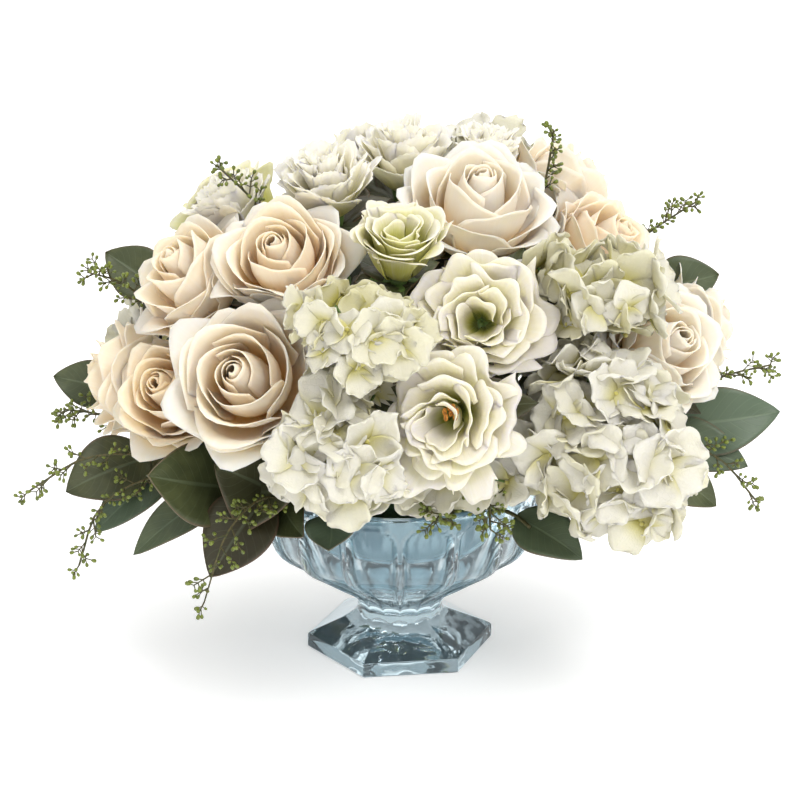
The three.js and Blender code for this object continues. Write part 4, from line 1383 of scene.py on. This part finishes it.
def seeded_sprig(row, rng, pod):
    """The runs of a sprig's twigs, and its pods: side twigs that fork again and again, a pod on each end."""
    runs = []
    pods = Copies()
    for k in range(TWIGS):
        at = lerp(TWIGS_FROM, 1.0, k / (TWIGS - 1))
        base = catmull_rom(row, at)
        ahead = catmull_rom(row, min(1.0, at + 0.02)) - catmull_rom(row, at - 0.02)
        along = ahead.normalized()
        side = Vector((0, 0, 1)).cross(along).normalized()
        sideways = Matrix.Rotation(k * math.pi + rng.uniform(-0.9, 0.9), 3, along) @ side
        outwards = (sideways + along * rng.uniform(0.4, 1.1)).normalized()
        length = rng.uniform(6, 14) * (0.7 if k > TWIGS - 3 else 1)
        end = base + outwards * length
        runs.append(([base, lerp(base, end, 0.6), end], TWIG))
        across = outwards.cross(along).normalized()
        for share in FORKS:
            spot = lerp(base, end, share)
            swing = Matrix.Rotation(rng.uniform(0, 3.1), 3, outwards) @ across
            for sign in (-1, 1):
                away = (outwards * rng.uniform(0.5, 1.1) + swing * sign).normalized()
                tip = spot + away * rng.uniform(1.8, 3.6)
                runs.append(([spot, tip], POD_STALK))
                size = rng.uniform(0.85, 1.25)
                pods.add(pod, pod_points(pod, tip + away * size, away, size))
    return runs, pods


class CENTREPIECE_OT_sprigs(bpy.types.Operator):
    """Model the sprigs of seeded eucalyptus"""

    bl_idname = "centrepiece.sprigs"
    bl_label = "Seeded eucalyptus"

    def execute(self, context):
        settings = context.scene.eucalyptus_settings
        green, bark = pod_material(settings), twig_material(settings)
        deselect_all()
        bpy.ops.mesh.primitive_uv_sphere_add(segments=6, ring_count=4, radius=1)
        pod = Blank(bpy.context.object)
        for index, (name, places) in enumerate(SEEDED):
            rng = np.random.default_rng(SEEDS["seeded"] + index)
            cut_end, row = stem_row(places)
            runs, pods = seeded_sprig(row, rng, pod)
            twigs = tubes(name + "_twigs", [*runs, stem_run(cut_end, row, 18, *SEEDED_STEM)], bark, sides=0)
            seeds = pods.piece(name + "_pods", green)
            smooth(seeds)
            stand_for(join([seeds, twigs], name + "_sprig"), name)
        return {"FINISHED"}


# The bowl, the dish and the foam

# The bowl: its arched panels, where their arches start and how high they rise, the turn of its six-sided
# foot, the columns of its sheet, the gap between its stations, and the angle up to which it is smooth
PANELS = 16
ARCH_FOOT = 97
ARCH_RISE = 12
FOOT_TURN = 37.5
COLUMNS = 384
BOWL_GAP = 2.6
BOWL_SMOOTH = 32
# Heights between which the panels fade in and the foot's darker tint fades out, and the scalloped collar
PANEL_FADE = (31, 47)
DARKER_FOOT = (20, 15)
COLLAR_HEIGHT = 21.5
COLLAR_SCALLOPS = 12
# The dish: its wall, the radius of its seat on the glass, its ribs, and its gap and angle as above
DISH_WALL = 1.6
DISH_SEAT = 65.5
DISH_RIBS = 36
DISH_GAP = 6
DISH_SMOOTH = 40

# radius and height up the outside of the bowl and down its inside, and how far the section is a hexagon
BOWL_LINE = [
    (0, 0, 1), (40, 0, 1), (56.6, 0, 1), (57.5, 0.9, 1), (57.5, 8.2, 1), (57, 9.3, 1), (54.4, 10.7, 1),
    (53.2, 11.2, 1), (43, 15.6, 0.95), (34.5, 19.2, 0.85), (29.5, 21.4, 0.5), (26.8, 23.2, 0.15),
    (26, 25, 0), (26, 29, 0), (27.2, 32.4, 0), (31, 37, 0), (39, 42.6, 0), (50, 50, 0), (58.6, 55.8, 0),
    (65.4, 60.2, 0), (71.4, 64.2, 0), (75.6, 68, 0), (78.6, 72, 0), (80.6, 76.6, 0), (81.6, 81, 0),
    (82.2, 86, 0), (82.8, 91, 0), (83.6, 96, 0), (84.2, 101, 0), (84.5, 106, 0), (84.5, 109.5, 0),
    (83.8, 111.4, 0), (82.2, 112, 0), (80.8, 111.5, 0), (80, 110, 0), (79.2, 104, 0), (78.2, 98.4, 0),
    (76.9, 93, 0), (75.2, 88, 0), (73, 83.2, 0), (70.1, 78.7, 0), (66.5, 74.4, 0), (62.2, 70.3, 0),
    (57.2, 66.3, 0), (51.6, 62.3, 0), (45.4, 58.3, 0), (38.6, 54.5, 0), (31, 51.2, 0), (22, 49, 0),
    (12, 48.1, 0), (0, 48, 0),
]


def hexagon_radius(corner_radius, around):
    """How far a hexagon's side lies out at an angle."""
    from_corner = np.mod(around - FOOT_TURN, 60)
    return corner_radius * math.cos(math.radians(30)) / np.cos(np.radians(from_corner - 30))


def denser(line, step):
    """A row of stations with more put between those that lie far apart."""
    rows = [line[0]]
    for a, b in zip(line, line[1:]):
        parts = max(1, round(math.hypot(b[0] - a[0], b[1] - a[1]) / step))
        rows += [tuple(lerp(x, y, k / parts) for x, y in zip(a, b)) for k in range(1, parts + 1)]
    return rows


def turned_body(name, line, columns, shape, material):
    """A closed body of revolution, bent from a flat sheet: its seam and poles are merged.

    shape(radius, height, hexagon, around, row) gives the radius and the tint at each point.
    """
    blank = flat_blank(columns, len(line) - 1)
    row = np.rint(blank.v * (len(line) - 1)).astype(int)
    around = blank.u * 180
    stations = np.array(line)[row]
    radius, tint = shape(stations[:, 0], stations[:, 1], stations[:, 2], around, row)
    body = Copies()
    body.add(blank, turned(np.column_stack([radius, stations[:, 1]]), np.radians(around)), tint)
    piece = body.piece(name, material)
    merge_and_turn_out(piece)
    return piece


class CENTREPIECE_OT_bowl(bpy.types.Operator):
    """Model the pressed glass bowl and the dish in it, and give the foam its material"""

    bl_idname = "centrepiece.bowl"
    bl_label = "Bowl, dish and foam"

    def execute(self, context):
        settings = context.scene.bowl_settings
        depth = settings.flute_depth / MM
        line = denser(BOWL_LINE, BOWL_GAP)
        rim_row = max(range(len(line)), key=lambda k: line[k][1])

        def shape(radius, height, hexagon, around, row):
            cornered = hexagon_radius(radius, around)
            panel = 360 / PANELS
            across = np.abs(np.mod(around, panel) / panel * 2 - 1)
            rise = np.maximum(height - ARCH_FOOT, 0) / ARCH_RISE
            edge = np.sqrt(across ** 2 + rise ** 2)
            outside = row < rim_row
            fade = slope(height, *PANEL_FADE) * outside
            scoop = np.clip(1 - (edge / 0.84) ** 2, 0, 1) ** 0.4
            bead = bell(edge, 0.94, 0.09)
            shaded = bell(edge, 0.78, 0.07)
            scallops = bell(height, COLLAR_HEIGHT, 2.5) * np.cos(np.radians(around * COLLAR_SCALLOPS))
            round_radius = radius + depth * fade * (0.4 * bead - 1.1 * scoop) + 0.9 * scallops * outside
            foot_darkening = slope(height, *DARKER_FOOT) * outside
            # The tint: a painted highlight on each bead, a painted shade just inside it, and darker towards
            # the foot
            return lerp(round_radius, cornered, hexagon), fade * (bead - shaded) - 0.25 * foot_darkening

        bowl = turned_body("bowl_glass_body", line, COLUMNS, shape, glass_material(settings))
        smooth(bowl, BOWL_SMOOTH)
        stand_for(bowl, "glass_bowl")
        low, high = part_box("foam_dish")
        floor, top = low.z / MM, high.z / MM
        outer, wall, seat = high.x / MM, DISH_WALL, DISH_SEAT
        dish_line = denser([
            (0, floor, 0), (seat - 8, floor, 0), (seat - 4.6, floor + 0.7, 0), (seat - 2, floor + 2.4, 0),
            (seat - 0.4, floor + 5.2, 0), (seat + 0.6, floor + 9, 0), (outer - 0.4, top - 2, 0),
            (outer, top - 0.6, 0), (outer - 0.5, top, 0), (outer - wall, top - 0.4, 0),
            (seat - 1, floor + 9, 0), (seat - 2.2, floor + 5.6, 0), (seat - 3.6, floor + 3.6, 0),
            (seat - 5.6, floor + 2.2, 0), (seat - 8.2, floor + wall, 0), (0, floor + wall, 0),
        ], DISH_GAP)

        def ribbed(radius, height, hexagon, around, row):
            rising = slope(height, floor, floor + 4) * slope(height, top, top - 3)
            return radius - 0.5 * rising * (1 + np.cos(np.radians(around * DISH_RIBS))), 0.0

        dish = turned_body("foam_dish_body", dish_line, DISH_RIBS * 6, ribbed, dish_material(settings))
        smooth(dish, DISH_SMOOTH)
        stand_for(dish, "foam_dish")
        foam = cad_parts["foam_block"]
        foam.data.materials.clear()
        foam.data.materials.append(foam_material(settings))
        return {"FINISHED"}


# The stage

# What the camera and the lights look at, in metres, and the camera's lens and sensor in millimetres
AIM = Vector((0, 0, 0.158))
LENS = 97.5
SENSOR = 36
# The floor's size, and how far it lies under the part, in metres
FLOOR_SIZE = 24
FLOOR_GAP = 0.0002
# Each light's place and aim in metres, its size in metres and its power in watts
LIGHTS = [
    ("key", (0.7, -1.3, 1.6), AIM, 0.8, 22),
    ("front", (-0.3, -2.2, 0.7), AIM, 1.2, 5.5),
    ("overhead", (0, 2.5, 4), Vector((0, 2.5, 0)), 5, 150),
]
# The sky's light: how high up it starts and ends to grow, and how strong it is there
SKY = (-0.2, 0.9, 0.3, 0.68)


def area_light(name, spot, aim, size, power):
    data = bpy.data.lights.new(name, "AREA")
    data.size = size
    data.energy = power
    light = bpy.data.objects.new(name, data)
    light.location = spot
    light.rotation_euler = (aim - Vector(spot)).to_track_quat("-Z", "Y").to_euler()
    link(light)


class CENTREPIECE_OT_stage(bpy.types.Operator):
    """Set out the pale floor, the soft light and the camera"""

    bl_idname = "centrepiece.stage"
    bl_label = "Stage"

    def execute(self, context):
        settings = context.scene.stage_settings
        deselect_all()
        bpy.ops.mesh.primitive_plane_add(size=FLOOR_SIZE, location=(0, 0, -FLOOR_GAP))
        floor = bpy.context.object
        floor.name = "floor"
        floor.data.materials.append(floor_material(settings))
        world = bpy.data.worlds.new("soft studio")
        context.scene.world = world
        shading = Shading(world)
        background = shading.tree.nodes["Background"]
        shading.fill(background.inputs["Color"], "FFFFFF")
        shading.fill(background.inputs["Strength"], ("step", ("z", ("sky",)), *SKY))
        for light in LIGHTS:
            area_light(*light)
        look = Vector((0, -math.cos(settings.camera_height), math.sin(settings.camera_height)))
        data = bpy.data.cameras.new("camera")
        data.lens = LENS
        data.sensor_width = SENSOR
        camera = bpy.data.objects.new("camera", data)
        camera.location = AIM + look * settings.camera_distance
        camera.rotation_euler = (-look).to_track_quat("-Z", "Y").to_euler()
        link(camera)
        context.scene.camera = camera
        context.scene.view_settings.view_transform = "Standard"
        return {"FINISHED"}


class CENTREPIECE_PT_panel(bpy.types.Panel):
    """The centrepiece's steps, in order"""

    bl_idname = "CENTREPIECE_PT_panel"
    bl_label = "Centrepiece"
    bl_space_type = "VIEW_3D"
    bl_region_type = "UI"
    bl_category = "Centrepiece"

    def draw(self, context):
        for operator in STEPS:
            self.layout.operator(operator.bl_idname)


SETTINGS = {
    "bowl_settings": BowlSettings,
    "rose_settings": RoseSettings,
    "carnation_settings": CarnationSettings,
    "lisianthus_settings": LisianthusSettings,
    "hydrangea_settings": HydrangeaSettings,
    "eucalyptus_settings": EucalyptusSettings,
    "stage_settings": StageSettings,
}
STEPS = [
    CENTREPIECE_OT_bowl,
    CENTREPIECE_OT_roses,
    CENTREPIECE_OT_carnations,
    CENTREPIECE_OT_lisianthus,
    CENTREPIECE_OT_hydrangeas,
    CENTREPIECE_OT_leaves,
    CENTREPIECE_OT_sprigs,
    CENTREPIECE_OT_stage,
]


def register():
    for name, group in SETTINGS.items():
        bpy.utils.register_class(group)
        setattr(bpy.types.Scene, name, bpy.props.PointerProperty(type=group))
    for operator in STEPS:
        bpy.utils.register_class(operator)
    bpy.utils.register_class(CENTREPIECE_PT_panel)


def unregister():
    bpy.utils.unregister_class(CENTREPIECE_PT_panel)
    for operator in reversed(STEPS):
        bpy.utils.unregister_class(operator)
    for name, group in SETTINGS.items():
        delattr(bpy.types.Scene, name)
        bpy.utils.unregister_class(group)


def main():
    register()
    for operator in STEPS:
        family, step = operator.bl_idname.split(".")
        getattr(getattr(bpy.ops, family), step)()


if __name__ == "__main__":
    main()
